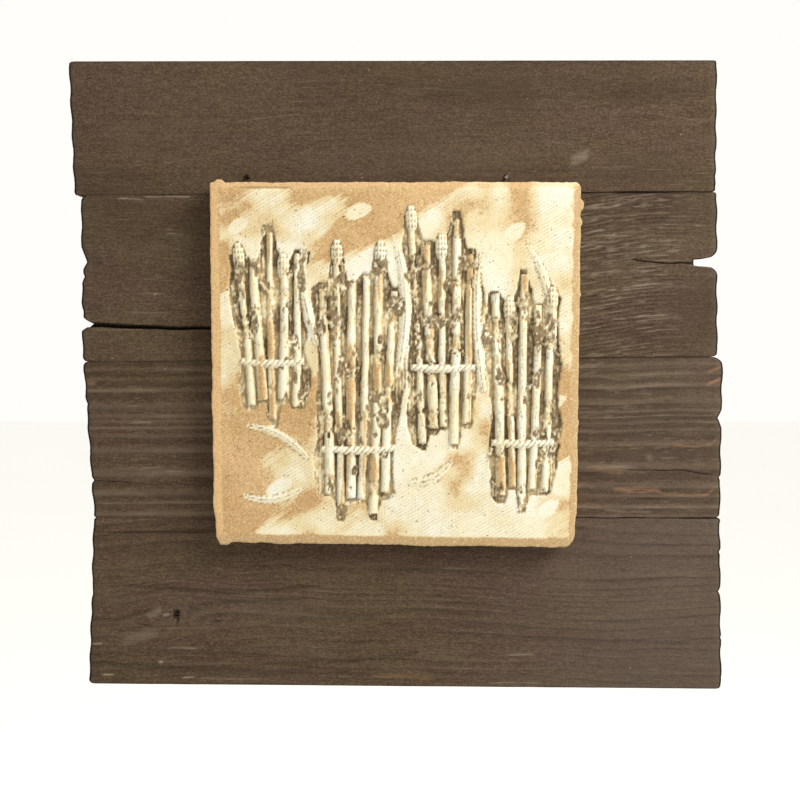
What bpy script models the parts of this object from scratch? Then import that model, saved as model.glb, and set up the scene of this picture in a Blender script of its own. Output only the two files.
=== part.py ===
"""A square ceramic relief tile hung on a panel of four stained planks.

Metres, +Z up, +X to the right as a person facing the work sees it.
The wall is the plane y = 0, the work stands in front of it towards -Y,
and the origin is the middle of the panel's back.
"""

import math
from collections import namedtuple

import bmesh
import bpy
from mathutils import Matrix, Vector

# Panel of planks
PANEL_WIDTH = 0.351
PLANK_THICKNESS = 0.020
PLANK_1_HEIGHT = 0.0714
PLANK_2_HEIGHT = 0.0900
PLANK_3_HEIGHT = 0.0873
PLANK_4_HEIGHT = 0.0941
ARRIS_ROUND = 0.0012
SAW_WAVE_DEPTH = 0.0003
SAW_WAVE_LENGTH = 0.017

# How far each long edge of the planks climbs from the panel's left side to its right side
TOP_EDGE_RISE = 0.0006
SEAM_1_RISE = 0.0019
SEAM_2_RISE = 0.0028
SEAM_3_RISE = 0.0
BOTTOM_EDGE_RISE = -0.0030

# Split in the second plank, open from its left end to behind the tile
SPLIT_LENGTH = 0.115
SPLIT_MOUTH_WIDTH = 0.0024
SPLIT_TIP_WIDTH = 0.0006
SPLIT_HEIGHT_SHARE = 0.227
SPLIT_FALL = 0.0030
SPLIT_SLANT = 0.0060

# Gap left between any two pieces that touch
CONTACT_GAP = 0.0003

# Tile
TILE_WIDTH = 0.1981
TILE_HEIGHT = 0.1948
TILE_TAPER = 0.0021
TILE_FOOT_RISE = -0.0030
TILE_THICKNESS = 0.014
TILE_BELOW_PANEL_TOP = 0.0667
TILE_SHIFT = 0.0
TILE_TOP_LEFT_ROUND = 0.0015
TILE_TOP_RIGHT_ROUND = 0.0035
TILE_FOOT_RIGHT_ROUND = 0.0075
TILE_FOOT_LEFT_ROUND = 0.0045
TILE_EDGE_WAVER = 0.0004
RIM_WIDTH = 0.0050
RIM_ARRIS = 0.0012
RIM_DROP = 0.0016
RIM_SLOPE_SHARE = 0.4

# Relief on the tile
REED_WIDTH = 0.0050
REED_RISE = 0.0015
REED_PITCH = 0.0058
BED_DEPTH = 0.0014
BED_MARGIN = 0.0024
BAND_WIDTH = 0.0050
BAND_RISE = 0.0024
BAND_OVERHANG = 0.0014
SEED_HEAD_LENGTH = 0.0160
SEED_HEAD_WIDTH = 0.0068
LEAF_WIDTH = 0.0070
LEAF_RISE = 0.0013

# Wire loops in the tile's top side, and the nails that they hang on
WIRE_DIAMETER = 0.0008
LOOP_OPENING = 0.0024
LOOP_RISE = 0.0052
LOOP_LEG_DEPTH = 0.0080
LOOP_FROM_TILE_BACK = 0.0040
LOOP_FROM_LEFT_SIDE = 0.0190
LOOP_FROM_RIGHT_SIDE = 0.0392
NAIL_DIAMETER = 0.0013
NAIL_HEAD_DIAMETER = 0.0020
NAIL_HEAD_THICKNESS = 0.0006
NAIL_POINT_LENGTH = 0.0022
NAIL_GRIP = 0.0140
NAIL_AHEAD_OF_LOOP = 0.0008

# Sides of small round pieces
WIRE_ARC_STEPS = 10
NAIL_SIDES = 16
SOCKET_SIDES = 12

# Colours, linear, with roughness and metallic value
WOOD_STAIN = ((0.100, 0.067, 0.042), 0.75, 0.0)
FIRED_CLAY = ((0.730, 0.560, 0.330), 0.85, 0.0)
DARK_WIRE = ((0.060, 0.045, 0.035), 0.45, 1.0)
NAIL_STEEL = ((0.550, 0.530, 0.500), 0.35, 1.0)

# One end of a plank: how far its top and its foot lie inside the panel's side,
# the width and height of its two rounded corners, and its notches.
End = namedtuple("End", "top foot top_corner foot_corner notches")

# A notch: its place as a share of the plank's height above the foot, its half height, its depth
# and how pointed it is: above 1 sharp, below 1 blunt
SHARP = 1.4
BLUNT = 0.7
Notch = namedtuple("Notch", "share half_height depth point", defaults=(SHARP,))

Plank = namedtuple("Plank", "name height top_rise foot_rise left right")

PLANKS = (
    Plank(
        "plank_1_top", PLANK_1_HEIGHT, TOP_EDGE_RISE, SEAM_1_RISE,
        End(-0.0015, 0.0006, (0.0020, 0.0012), (0.0018, 0.0025), ()),
        End(0.0012, 0.0010, (0.0010, 0.0010), (0.0020, 0.0014), (Notch(0.12, 0.0035, 0.0006),)),
    ),
    Plank(
        "plank_2_upper", PLANK_2_HEIGHT, SEAM_1_RISE, SEAM_2_RISE,
        End(
            0.0042, 0.0038, (0.0032, 0.0030), (0.0030, 0.0035),
            (
                Notch(0.600, 0.0085, 0.0028),
                Notch(0.512, 0.0040, 0.0017),
                Notch(0.300, 0.0055, 0.0009),
                Notch(SPLIT_HEIGHT_SHARE, 0.0040, 0.0062),
            ),
        ),
        End(
            0.0003, -0.0012, (0.0016, 0.0018), (0.0030, 0.0022),
            (Notch(0.575, 0.0050, 0.0126, BLUNT),),
        ),
    ),
    Plank(
        "plank_3_lower", PLANK_3_HEIGHT, SEAM_2_RISE, SEAM_3_RISE,
        End(
            0.0041, 0.0092, (0.0026, 0.0030), (0.0022, 0.0014),
            (Notch(0.73, 0.0040, 0.0010), Notch(0.21, 0.0022, 0.0013)),
        ),
        End(
            -0.0040, -0.0037, (0.0065, 0.0044), (0.0030, 0.0020),
            (Notch(0.62, 0.0052, 0.0019), Notch(0.25, 0.0018, 0.0008)),
        ),
    ),
    Plank(
        "plank_4_bottom", PLANK_4_HEIGHT, SEAM_3_RISE, BOTTOM_EDGE_RISE,
        End(
            0.0088, 0.0051, (0.0016, 0.0016), (0.0030, 0.0026),
            (Notch(0.54, 0.0060, 0.0010),),
        ),
        End(
            -0.0036, -0.0057, (0.0026, 0.0016), (0.0024, 0.0026),
            (Notch(0.80, 0.0022, 0.0009), Notch(0.57, 0.0026, 0.0011), Notch(0.30, 0.0018, 0.0006)),
        ),
    ),
)

# A sheaf of pressed reeds. Its middle, foot, length and lean are shares of the tile's
# width and height, measured from the tile's middle. The fan is how far the outermost
# reed's tip swings out, as a share of the tile's width. The heads are the reeds that carry
# a seed head. The band is the height of the cord that ties the sheaf, as a share of the
# sheaf's length. The lobes are bulges of the bed that the sheaf is pressed into.
Sheaf = namedtuple("Sheaf", "middle foot length lean fan reeds heads band lobes")

# One reed of a sheaf: its number from the left, its two ends in x and z and its share of the width
Reed = namedtuple("Reed", "number foot tip thickness")

# A bulge of a bed: its side (-1 left, 1 right), its place along the sheaf and how far it reaches out
Lobe = namedtuple("Lobe", "side share reach")

SHEAVES = (
    Sheaf(
        -0.330, -0.120, 0.430, -0.012, 0.022, 5, (0, 3), 0.30,
        (Lobe(-1, 0.78, 0.0035), Lobe(1, 0.22, 0.0040)),
    ),
    Sheaf(
        -0.105, -0.385, 0.640, 0.006, 0.024, 6, (1, 4), 0.24,
        (Lobe(1, 0.60, 0.0045), Lobe(-1, 0.16, 0.0050)),
    ),
    Sheaf(
        0.132, -0.190, 0.540, -0.008, 0.022, 5, (0, 2), 0.34,
        (Lobe(-1, 0.12, 0.0040), Lobe(1, 0.70, 0.0030)),
    ),
    Sheaf(
        0.345, -0.365, 0.560, 0.002, 0.018, 5, (1, 4), 0.27,
        (Lobe(1, 0.36, 0.0050), Lobe(-1, 0.80, 0.0035)),
    ),
)

# A long leaf blade, from its root to its tip, with the sideways bow of its middle
Leaf = namedtuple("Leaf", "root_x root_z tip_x tip_z bow")

LEAVES = (
    Leaf(-0.235, -0.260, -0.405, -0.165, 0.020),
    Leaf(-0.250, -0.340, -0.420, -0.360, -0.022),
    Leaf(-0.210, 0.050, -0.245, 0.350, -0.020),
    Leaf(0.010, -0.010, -0.010, 0.380, 0.026),
    Leaf(0.035, -0.330, 0.160, -0.260, 0.018),
    Leaf(0.240, -0.080, 0.228, 0.330, -0.016),
    Leaf(0.425, 0.060, 0.340, 0.360, 0.026),
)

REED_STATIONS = 5
REED_STAGGER_SHARE = 0.055
REED_THINNING_SHARE = 0.22
REED_WIDTH_SPREAD_SHARE = 0.16
REED_SWAY_SHARE = 0.10
LEAF_STATIONS = 7
BED_POINTS_PER_SIDE = 11
BED_RAGGEDNESS = 0.0012
LOBE_SPREAD_SHARE = 0.11
BAND_END_THICKNESS_SHARE = 0.75
BAND_SAG_SHARE = 0.25
SEED_HEAD_FLATNESS_SHARE = 0.8
SEED_HEAD_SINK_SHARE = 0.08
LEAF_TIP_FULLNESS_SHARE = 0.16
LEAF_EDGE_LIFT_SHARE = -0.3

# Positions that follow from the sizes
PANEL_HEIGHT = PLANK_1_HEIGHT + PLANK_2_HEIGHT + PLANK_3_HEIGHT + PLANK_4_HEIGHT
PANEL_TOP_Z = PANEL_HEIGHT / 2
PANEL_FRONT_Y = -PLANK_THICKNESS
TILE_BACK_Y = PANEL_FRONT_Y - CONTACT_GAP
TILE_FACE_Y = TILE_BACK_Y - TILE_THICKNESS
TILE_TOP_Z = PANEL_TOP_Z - TILE_BELOW_PANEL_TOP
TILE_MIDDLE_Z = TILE_TOP_Z - TILE_HEIGHT / 2
LOOP_LEFT_X = TILE_SHIFT - TILE_WIDTH / 2 + LOOP_FROM_LEFT_SIDE
LOOP_RIGHT_X = TILE_SHIFT + TILE_WIDTH / 2 - LOOP_FROM_RIGHT_SIDE
LOOP_Y = TILE_BACK_Y - LOOP_FROM_TILE_BACK
WIRE_RADIUS = WIRE_DIAMETER / 2
NAIL_Z = TILE_TOP_Z + LOOP_RISE - WIRE_DIAMETER - CONTACT_GAP - NAIL_DIAMETER / 2
NAIL_HEAD_BACK_Y = LOOP_Y - WIRE_RADIUS - NAIL_AHEAD_OF_LOOP


def remove_scene_objects():
    for scene_object in list(bpy.data.objects):
        bpy.data.objects.remove(scene_object, do_unlink=True)


def new_collection(name):
    collection = bpy.data.collections.new(name)
    bpy.context.scene.collection.children.link(collection)
    return collection


def new_material(name, finish):
    colour, roughness, metallic = finish
    material = bpy.data.materials.new(name)
    material.use_nodes = True
    shader = material.node_tree.nodes["Principled BSDF"]
    shader.inputs["Base Color"].default_value = (*colour, 1.0)
    shader.inputs["Roughness"].default_value = roughness
    shader.inputs["Metallic"].default_value = metallic
    return material


def new_object(name, data):
    scene_object = bpy.data.objects.new(name, data)
    bpy.context.scene.collection.objects.link(scene_object)
    return scene_object


def evaluated_mesh(scene_object):
    """The object's mesh with its modifiers worked out, loose caps welded, faces pointing out."""
    depsgraph = bpy.context.evaluated_depsgraph_get()
    mesh = bpy.data.meshes.new_from_object(scene_object.evaluated_get(depsgraph))
    shell = bmesh.new()
    shell.from_mesh(mesh)
    bmesh.ops.remove_doubles(shell, verts=shell.verts, dist=0.000001)
    bmesh.ops.recalc_face_normals(shell, faces=shell.faces)
    shell.to_mesh(mesh)
    shell.free()
    return mesh


def curve_to_mesh_object(curve_object):
    """Replace a curve object by a mesh object that stands in the same place."""
    name = curve_object.name
    curve_object.name = name + "_curve"
    solid = new_object(name, evaluated_mesh(curve_object))
    solid.matrix_world = curve_object.matrix_world.copy()
    bpy.data.objects.remove(curve_object, do_unlink=True)
    return solid


def combine(target, tool, operation, solver="EXACT"):
    """Cut the tool out of the target, or unite it with the target, and remove the tool."""
    boolean = target.modifiers.new("combine", "BOOLEAN")
    boolean.solver = solver
    boolean.operation = operation
    boolean.object = tool
    bpy.context.view_layer.update()
    combined = evaluated_mesh(target)
    target.modifiers.remove(boolean)
    target.data = combined
    bpy.data.objects.remove(tool, do_unlink=True)


def upright_plate(name, outline, front_y, back_y):
    """A flat plate whose outline is given in x and z, between two depths."""
    curve = bpy.data.curves.new(name, "CURVE")
    curve.dimensions = "2D"
    curve.fill_mode = "BOTH"
    curve.extrude = (back_y - front_y) / 2
    spline = curve.splines.new("POLY")
    spline.points.add(len(outline) - 1)
    for point, (x, z) in zip(spline.points, outline):
        point.co = (x, z, 0.0, 1.0)
    spline.use_cyclic_u = True
    plate = new_object(name, curve)
    plate.matrix_world = Matrix.Translation((0.0, (front_y + back_y) / 2, 0.0)) @ Matrix.Rotation(
        math.pi / 2, 4, "X"
    )
    bpy.context.view_layer.update()
    return curve_to_mesh_object(plate)


def cylinder(name, radius, start, end, sides):
    """A closed cylinder between two points."""
    start = Vector(start)
    end = Vector(end)
    mesh = bpy.data.meshes.new(name)
    shell = bmesh.new()
    bmesh.ops.create_cone(
        shell, cap_ends=True, segments=sides,
        radius1=radius, radius2=radius, depth=(end - start).length,
    )
    shell.to_mesh(mesh)
    shell.free()
    tube = new_object(name, mesh)
    turn = (end - start).to_track_quat("Z", "Y").to_matrix().to_4x4()
    tube.matrix_world = Matrix.Translation((start + end) / 2) @ turn
    bpy.context.view_layer.update()
    return tube


def shade_round(scene_object, sharp_degrees):
    scene_object.data.shade_smooth()
    scene_object.data.set_sharp_from_angle(angle=math.radians(sharp_degrees))


def finish(scene_object, collection, material):
    """Bake the object's place into its mesh, give it its material and file it."""
    scene_object.data.transform(scene_object.matrix_world)
    scene_object.matrix_world = Matrix.Identity(4)
    scene_object.data.materials.clear()
    scene_object.data.materials.append(material)
    bpy.context.scene.collection.objects.unlink(scene_object)
    collection.objects.link(scene_object)


# Planks


def corner_inset(distance, corner):
    """Inset of a rounded corner at a distance from the plank's long edge."""
    width, height = corner
    if distance >= height:
        return 0.0
    reach = 1 - distance / height
    return width * (1 - math.sqrt(1 - reach * reach))


def notch_inset(offset, notch):
    """Inset of a notch with a rounded mouth, at an offset from its middle."""
    reach = abs(offset) / notch.half_height
    if reach >= 1:
        return 0.0
    return notch.depth * (1 - reach) ** notch.point


def end_heights(plank, end):
    """Heights above the plank's foot at which its end needs a point."""
    top = plank.height
    heights = []
    for turn in range(5):
        share = 1 - math.cos(math.radians(90 * turn / 4))
        heights.append(end.foot_corner[1] * share)
        heights.append(top - end.top_corner[1] * share)
    for notch in end.notches:
        for share in (-1.0, -0.55, -0.22, 0.0, 0.22, 0.55, 1.0):
            heights.append(notch.share * top + share * notch.half_height)
    waves = max(2, round(top / SAW_WAVE_LENGTH))
    heights.extend(top * (step + 0.5) / waves for step in range(waves))
    heights.sort()
    spaced = [heights[0]]
    for height in heights[1:]:
        if height - spaced[-1] > top / 250:
            spaced.append(height)
    spaced[-1] = top
    return spaced


def end_outline(plank, end, side):
    """Points of one end, from foot to top, as x and a share of the plank's height."""
    points = []
    for height in end_heights(plank, end):
        share = height / plank.height
        inset = end.foot + (end.top - end.foot) * share
        inset += corner_inset(height, end.foot_corner)
        inset += corner_inset(plank.height - height, end.top_corner)
        inset += sum(notch_inset(height - notch.share * plank.height, notch) for notch in end.notches)
        inset += SAW_WAVE_DEPTH * math.sin(2 * math.pi * (height / SAW_WAVE_LENGTH + side / 8))
        points.append((side * (PANEL_WIDTH / 2 - inset), share))
    return points


def plank_z(plank, foot_z, x, share):
    """Height of a point on a plank, between its slightly slanting long edges."""
    foot = foot_z + CONTACT_GAP / 2 + plank.foot_rise * x / PANEL_WIDTH
    top = foot_z + plank.height - CONTACT_GAP / 2 + plank.top_rise * x / PANEL_WIDTH
    return foot + (top - foot) * share


def split_cutter(plank, foot_z):
    """The wedge of air of the split: wide at the plank's left end, narrow behind the tile,
    and slanting down towards the plank's back."""
    mouth_x = -PANEL_WIDTH / 2 - PLANK_THICKNESS
    tip_x = -PANEL_WIDTH / 2 + SPLIT_LENGTH
    mouth_z = plank_z(plank, foot_z, mouth_x, SPLIT_HEIGHT_SHARE)
    tip_z = mouth_z - SPLIT_FALL
    outline = [
        (mouth_x, mouth_z - SPLIT_MOUTH_WIDTH / 2),
        (tip_x, tip_z - SPLIT_TIP_WIDTH / 2),
        (tip_x, tip_z + SPLIT_TIP_WIDTH / 2),
        (mouth_x, mouth_z + SPLIT_MOUTH_WIDTH / 2),
    ]
    wedge = upright_plate("split", outline, PANEL_FRONT_Y - PLANK_THICKNESS, PLANK_THICKNESS)
    slope = SPLIT_SLANT / PLANK_THICKNESS
    slant = Matrix.Identity(4)
    slant[2][1] = -slope
    slant[2][3] = slope * PANEL_FRONT_Y
    wedge.matrix_world = slant @ wedge.matrix_world
    bpy.context.view_layer.update()
    return wedge


def nail_hole_cutter(x):
    return cylinder(
        "nail_hole", NAIL_DIAMETER / 2 + CONTACT_GAP,
        (x, PANEL_FRONT_Y - PLANK_THICKNESS, NAIL_Z),
        (x, PANEL_FRONT_Y + NAIL_GRIP + CONTACT_GAP, NAIL_Z),
        SOCKET_SIDES,
    )


def nail_hits(foot_z, plank):
    reach = NAIL_DIAMETER / 2 + CONTACT_GAP + abs(plank.top_rise) + abs(plank.foot_rise)
    return foot_z - reach < NAIL_Z < foot_z + plank.height + reach


def make_plank(plank, foot_z, collection, material):
    left = end_outline(plank, plank.left, -1)
    right = end_outline(plank, plank.right, 1)
    outline = [(x, plank_z(plank, foot_z, x, share)) for x, share in right + left[::-1]]
    board = upright_plate(plank.name, outline, PANEL_FRONT_Y, 0.0)
    bevel = board.modifiers.new("arris", "BEVEL")
    bevel.width = ARRIS_ROUND
    bevel.segments = 2
    bevel.limit_method = "ANGLE"
    bevel.angle_limit = math.radians(60)
    bpy.context.view_layer.update()
    rounded = evaluated_mesh(board)
    board.modifiers.remove(bevel)
    board.data = rounded
    if plank.name == "plank_2_upper":
        combine(board, split_cutter(plank, foot_z), "DIFFERENCE")
    for x in (LOOP_LEFT_X, LOOP_RIGHT_X):
        if nail_hits(foot_z, plank):
            combine(board, nail_hole_cutter(x), "DIFFERENCE")
    finish(board, collection, material)


# Tile


def tile_place(share_x, share_z):
    """A point of the relief, from shares of the tile's size to x and z."""
    return (TILE_SHIFT + share_x * TILE_WIDTH, TILE_MIDDLE_Z + share_z * TILE_HEIGHT)


def tile_outline(inset):
    """The tile seen from the front, or a line inside its edge: rounded corners, a narrower foot
    that falls to the right and sides that waver a little."""
    half = TILE_WIDTH / 2 - inset
    foot_half = half - TILE_TAPER / 2
    top_z = TILE_TOP_Z - inset
    foot_z = TILE_TOP_Z - TILE_HEIGHT + inset
    corners = (
        (foot_half, foot_z + TILE_FOOT_RISE / 2, TILE_FOOT_RIGHT_ROUND, -90),
        (half, top_z, TILE_TOP_RIGHT_ROUND, 0),
        (-half, top_z, TILE_TOP_LEFT_ROUND, 90),
        (-foot_half, foot_z - TILE_FOOT_RISE / 2, TILE_FOOT_LEFT_ROUND, 180),
    )
    outline = []
    for number, (x, z, outer_radius, first_turn) in enumerate(corners):
        radius = max(outer_radius - inset, TILE_EDGE_WAVER)
        centre_x = x - math.copysign(radius, x)
        centre_z = z - math.copysign(radius, z - TILE_MIDDLE_Z)
        for step in range(4):
            turn = math.radians(first_turn + 30 * step)
            outline.append((centre_x + radius * math.cos(turn), centre_z + radius * math.sin(turn)))
        next_x, next_z = corners[(number + 1) % 4][:2]
        for step in range(1, 6):
            share = step / 6
            waver = TILE_EDGE_WAVER * math.sin(2 * math.pi * (1.6 * share + 0.27 * number))
            along_x = x + (next_x - x) * share
            along_z = z + (next_z - z) * share
            if number % 2:
                outline.append((along_x, along_z + waver))
            else:
                outline.append((along_x + waver, along_z))
    return [(x + TILE_SHIFT, z) for x, z in outline]


def tile_slab():
    """The plain slab, lofted from its back to a rounded arris and a rim that slopes up to the face."""
    levels = (
        (0.0, TILE_BACK_Y),
        (0.0, TILE_FACE_Y + RIM_DROP),
        (RIM_ARRIS, TILE_FACE_Y + RIM_DROP * RIM_SLOPE_SHARE),
        (RIM_WIDTH, TILE_FACE_Y),
    )
    shell = bmesh.new()
    rings = [[shell.verts.new((x, y, z)) for x, z in tile_outline(inset)] for inset, y in levels]
    for ring, following in zip(rings, rings[1:]):
        for number in range(len(ring)):
            after = (number + 1) % len(ring)
            shell.faces.new((ring[number], ring[after], following[after], following[number]))
    shell.faces.new(rings[0])
    shell.faces.new(rings[-1])
    bmesh.ops.triangulate(shell, faces=shell.faces)
    bmesh.ops.recalc_face_normals(shell, faces=shell.faces)
    mesh = bpy.data.meshes.new("ceramic_tile")
    shell.to_mesh(mesh)
    shell.free()
    return new_object("ceramic_tile", mesh)


def sheaf_reeds(sheaf):
    reeds = []
    for number in range(sheaf.reeds):
        side = number - (sheaf.reeds - 1) / 2
        spread = side / ((sheaf.reeds - 1) / 2)
        foot_x, foot_z = tile_place(sheaf.middle, sheaf.foot)
        stagger = REED_STAGGER_SHARE * TILE_HEIGHT * math.sin(2.3 * number + 9 * sheaf.middle)
        foot = (foot_x + side * REED_PITCH, foot_z - 0.6 * stagger)
        tip = (
            foot[0] + (sheaf.lean + spread * sheaf.fan) * TILE_WIDTH,
            foot_z + sheaf.length * TILE_HEIGHT + stagger,
        )
        thickness = 1.0 + REED_WIDTH_SPREAD_SHARE * math.sin(2.7 * number + 40.0 * sheaf.middle)
        reeds.append(Reed(number, foot, tip, thickness))
    return reeds


def bed_outline(sheaf):
    """Ragged outline of the shallow bed that a sheaf is pressed into: up its right side, over
    the reeds' tips, down its left side and under the reeds' feet."""
    reeds = sheaf_reeds(sheaf)
    outline = []
    for side in (1, -1):
        outer = reeds[-1] if side > 0 else reeds[0]
        stretch = []
        for step in range(BED_POINTS_PER_SIDE + 1):
            share = step / BED_POINTS_PER_SIDE
            out = REED_WIDTH / 2 + BED_MARGIN
            out += BED_RAGGEDNESS * math.sin(5.1 * step + 3 * side + 20 * sheaf.middle)
            for lobe in sheaf.lobes:
                if lobe.side == side:
                    out += lobe.reach * math.exp(-(((share - lobe.share) / LOBE_SPREAD_SHARE) ** 2))
            x = outer.foot[0] + (outer.tip[0] - outer.foot[0]) * share + side * out
            stretch.append((x, outer.foot[1] + (outer.tip[1] - outer.foot[1]) * share))
        outline.extend(stretch if side > 0 else stretch[::-1])
        ends = [reed.tip for reed in reversed(reeds)] if side > 0 else [reed.foot for reed in reeds]
        for step, (x, z) in enumerate(ends):
            rag = BED_RAGGEDNESS * math.sin(4.3 * step + 20 * sheaf.middle)
            for half in (side, -side):
                outline.append((x + half * REED_PITCH / 3, z + side * (BED_MARGIN + rag)))
    return outline


def bed_cutter(sheaf):
    return upright_plate("bed", bed_outline(sheaf), TILE_FACE_Y - REED_WIDTH, TILE_FACE_Y + BED_DEPTH)


def swept_rod(name, stations, radius):
    """A rod along points, each with its share of the radius, made a closed mesh."""
    curve = bpy.data.curves.new(name, "CURVE")
    curve.dimensions = "3D"
    curve.bevel_depth = radius
    curve.bevel_resolution = 2
    curve.use_fill_caps = True
    spline = curve.splines.new("POLY")
    spline.points.add(len(stations) - 1)
    for point, (place, share) in zip(spline.points, stations):
        point.co = (*place, 1.0)
        point.radius = share
    rod = new_object(name, curve)
    bpy.context.view_layer.update()
    return curve_to_mesh_object(rod)


def reed_solid(reed):
    """A reed half sunk in the clay, slimmer towards its tip and wavering a little."""
    radius = REED_WIDTH / 2
    axis_y = TILE_FACE_Y - REED_RISE + radius
    stations = []
    for step in range(REED_STATIONS):
        share = step / (REED_STATIONS - 1)
        sway = REED_SWAY_SHARE * REED_WIDTH * math.sin(4.0 * share + 1.7 * reed.number)
        x = reed.foot[0] + (reed.tip[0] - reed.foot[0]) * share + sway
        z = reed.foot[1] + (reed.tip[1] - reed.foot[1]) * share
        stations.append(((x, axis_y, z), reed.thickness * (1.0 - REED_THINNING_SHARE * share)))
    return swept_rod("reed", stations, radius)


def band_solid(sheaf):
    """The cord that ties a sheaf: a thick round bar across all its reeds."""
    reeds = sheaf_reeds(sheaf)
    ends = []
    for reed, side in ((reeds[0], -1), (reeds[-1], 1)):
        reach = REED_WIDTH / 2 + BAND_OVERHANG
        x = reed.foot[0] + (reed.tip[0] - reed.foot[0]) * sheaf.band + side * reach
        z = tile_place(0, sheaf.foot + sheaf.length * sheaf.band)[1]
        ends.append(Vector((x, TILE_FACE_Y - BAND_RISE + BAND_WIDTH / 2, z)))
    first, last = ends
    middle = (first + last) / 2 - Vector((0.0, 0.0, BAND_SAG_SHARE * BAND_WIDTH))
    stations = [(first, BAND_END_THICKNESS_SHARE), (middle, 1.0), (last, BAND_END_THICKNESS_SHARE)]
    return swept_rod("band", stations, BAND_WIDTH / 2)


def seed_head_solid(reed):
    """A plump seed head on the tip of a reed, with the reed's slant."""
    slant = math.atan2(reed.tip[0] - reed.foot[0], reed.tip[1] - reed.foot[1])
    mesh = bpy.data.meshes.new("seed_head")
    shell = bmesh.new()
    bmesh.ops.create_uvsphere(shell, u_segments=10, v_segments=6, radius=0.5)
    shell.to_mesh(mesh)
    shell.free()
    head = new_object("seed_head", mesh)
    depth = SEED_HEAD_WIDTH * SEED_HEAD_FLATNESS_SHARE
    stretch = Matrix.Diagonal((SEED_HEAD_WIDTH, depth, SEED_HEAD_LENGTH, 1.0))
    sunk_y = TILE_FACE_Y + SEED_HEAD_WIDTH * SEED_HEAD_SINK_SHARE
    place = Matrix.Translation((reed.tip[0], sunk_y, reed.tip[1]))
    head.matrix_world = place @ Matrix.Rotation(slant, 4, "Y") @ stretch
    bpy.context.view_layer.update()
    return head


def leaf_solid(leaf):
    """A leaf blade: a low ridge along a bowed midrib, sharp at its tip."""
    root = Vector(tile_place(leaf.root_x, leaf.root_z))
    tip = Vector(tile_place(leaf.tip_x, leaf.tip_z))
    along = (tip - root).normalized()
    across = Vector((along.y, -along.x))
    shell = bmesh.new()
    rings = []
    for step in range(LEAF_STATIONS):
        share = step / (LEAF_STATIONS - 1)
        bow = leaf.bow * TILE_WIDTH * math.sin(math.pi * share)
        middle = root + (tip - root) * share + across * bow
        fullness = math.sin(math.pi * (0.12 + 0.86 * share)) ** 0.8
        swell = LEAF_TIP_FULLNESS_SHARE + (1 - LEAF_TIP_FULLNESS_SHARE) * fullness
        half = LEAF_WIDTH / 2 * swell
        rise = LEAF_RISE * swell
        ring = []
        for side, lift in ((-1, LEAF_EDGE_LIFT_SHARE), (0, 1.0), (1, LEAF_EDGE_LIFT_SHARE), (0, -1.0)):
            spot = middle + across * half * side
            y = TILE_FACE_Y - rise * lift
            ring.append(shell.verts.new((spot.x, y, spot.y)))
        rings.append(ring)
    for ring, following in zip(rings, rings[1:]):
        for corner in range(4):
            after = (corner + 1) % 4
            shell.faces.new((ring[corner], ring[after], following[after], following[corner]))
    shell.faces.new(rings[0][::-1])
    shell.faces.new(rings[-1])
    bmesh.ops.recalc_face_normals(shell, faces=shell.faces)
    mesh = bpy.data.meshes.new("leaf")
    shell.to_mesh(mesh)
    shell.free()
    return new_object("leaf", mesh)


def socket_cutter(x):
    """The hole in the tile's top side that one leg of a wire loop stands in."""
    return cylinder(
        "socket", WIRE_RADIUS + CONTACT_GAP,
        (x, LOOP_Y, TILE_TOP_Z - LOOP_LEG_DEPTH - CONTACT_GAP),
        (x, LOOP_Y, TILE_TOP_Z + LOOP_LEG_DEPTH),
        SOCKET_SIDES,
    )


def loop_leg_places(x):
    reach = (LOOP_OPENING + WIRE_DIAMETER) / 2
    return (x - reach, x + reach)


def make_tile(collection, material):
    tile = tile_slab()
    cutters = [bed_cutter(sheaf) for sheaf in SHEAVES]
    for x in (LOOP_LEFT_X, LOOP_RIGHT_X):
        cutters.extend(socket_cutter(leg_x) for leg_x in loop_leg_places(x))
    raised = [leaf_solid(leaf) for leaf in LEAVES]
    for sheaf in SHEAVES:
        for reed in sheaf_reeds(sheaf):
            raised.append(reed_solid(reed))
            if reed.number in sheaf.heads:
                raised.append(seed_head_solid(reed))
        raised.append(band_solid(sheaf))
    # The relief's many slanting contacts leave open edges with an exact union at some tile sizes
    for cutter in cutters:
        combine(tile, cutter, "DIFFERENCE", "MANIFOLD")
    for form in raised:
        combine(tile, form, "UNION", "MANIFOLD")
    finish(tile, collection, material)


# Fixings


def make_loop(name, x, collection, material):
    """A wire bent to an upside-down U, with both legs down in the tile's top side."""
    left, right = loop_leg_places(x)
    radius = (right - left) / 2
    crown_z = TILE_TOP_Z + LOOP_RISE - WIRE_RADIUS - radius
    leg_foot_z = TILE_TOP_Z - LOOP_LEG_DEPTH
    path = [(left, LOOP_Y, leg_foot_z)]
    for step in range(WIRE_ARC_STEPS + 1):
        turn = math.pi * (1 - step / WIRE_ARC_STEPS)
        path.append((x + radius * math.cos(turn), LOOP_Y, crown_z + radius * math.sin(turn)))
    path.append((right, LOOP_Y, leg_foot_z))
    loop = swept_rod(name, [(place, 1.0) for place in path], WIRE_RADIUS)
    shade_round(loop, 50)
    finish(loop, collection, material)


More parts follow.
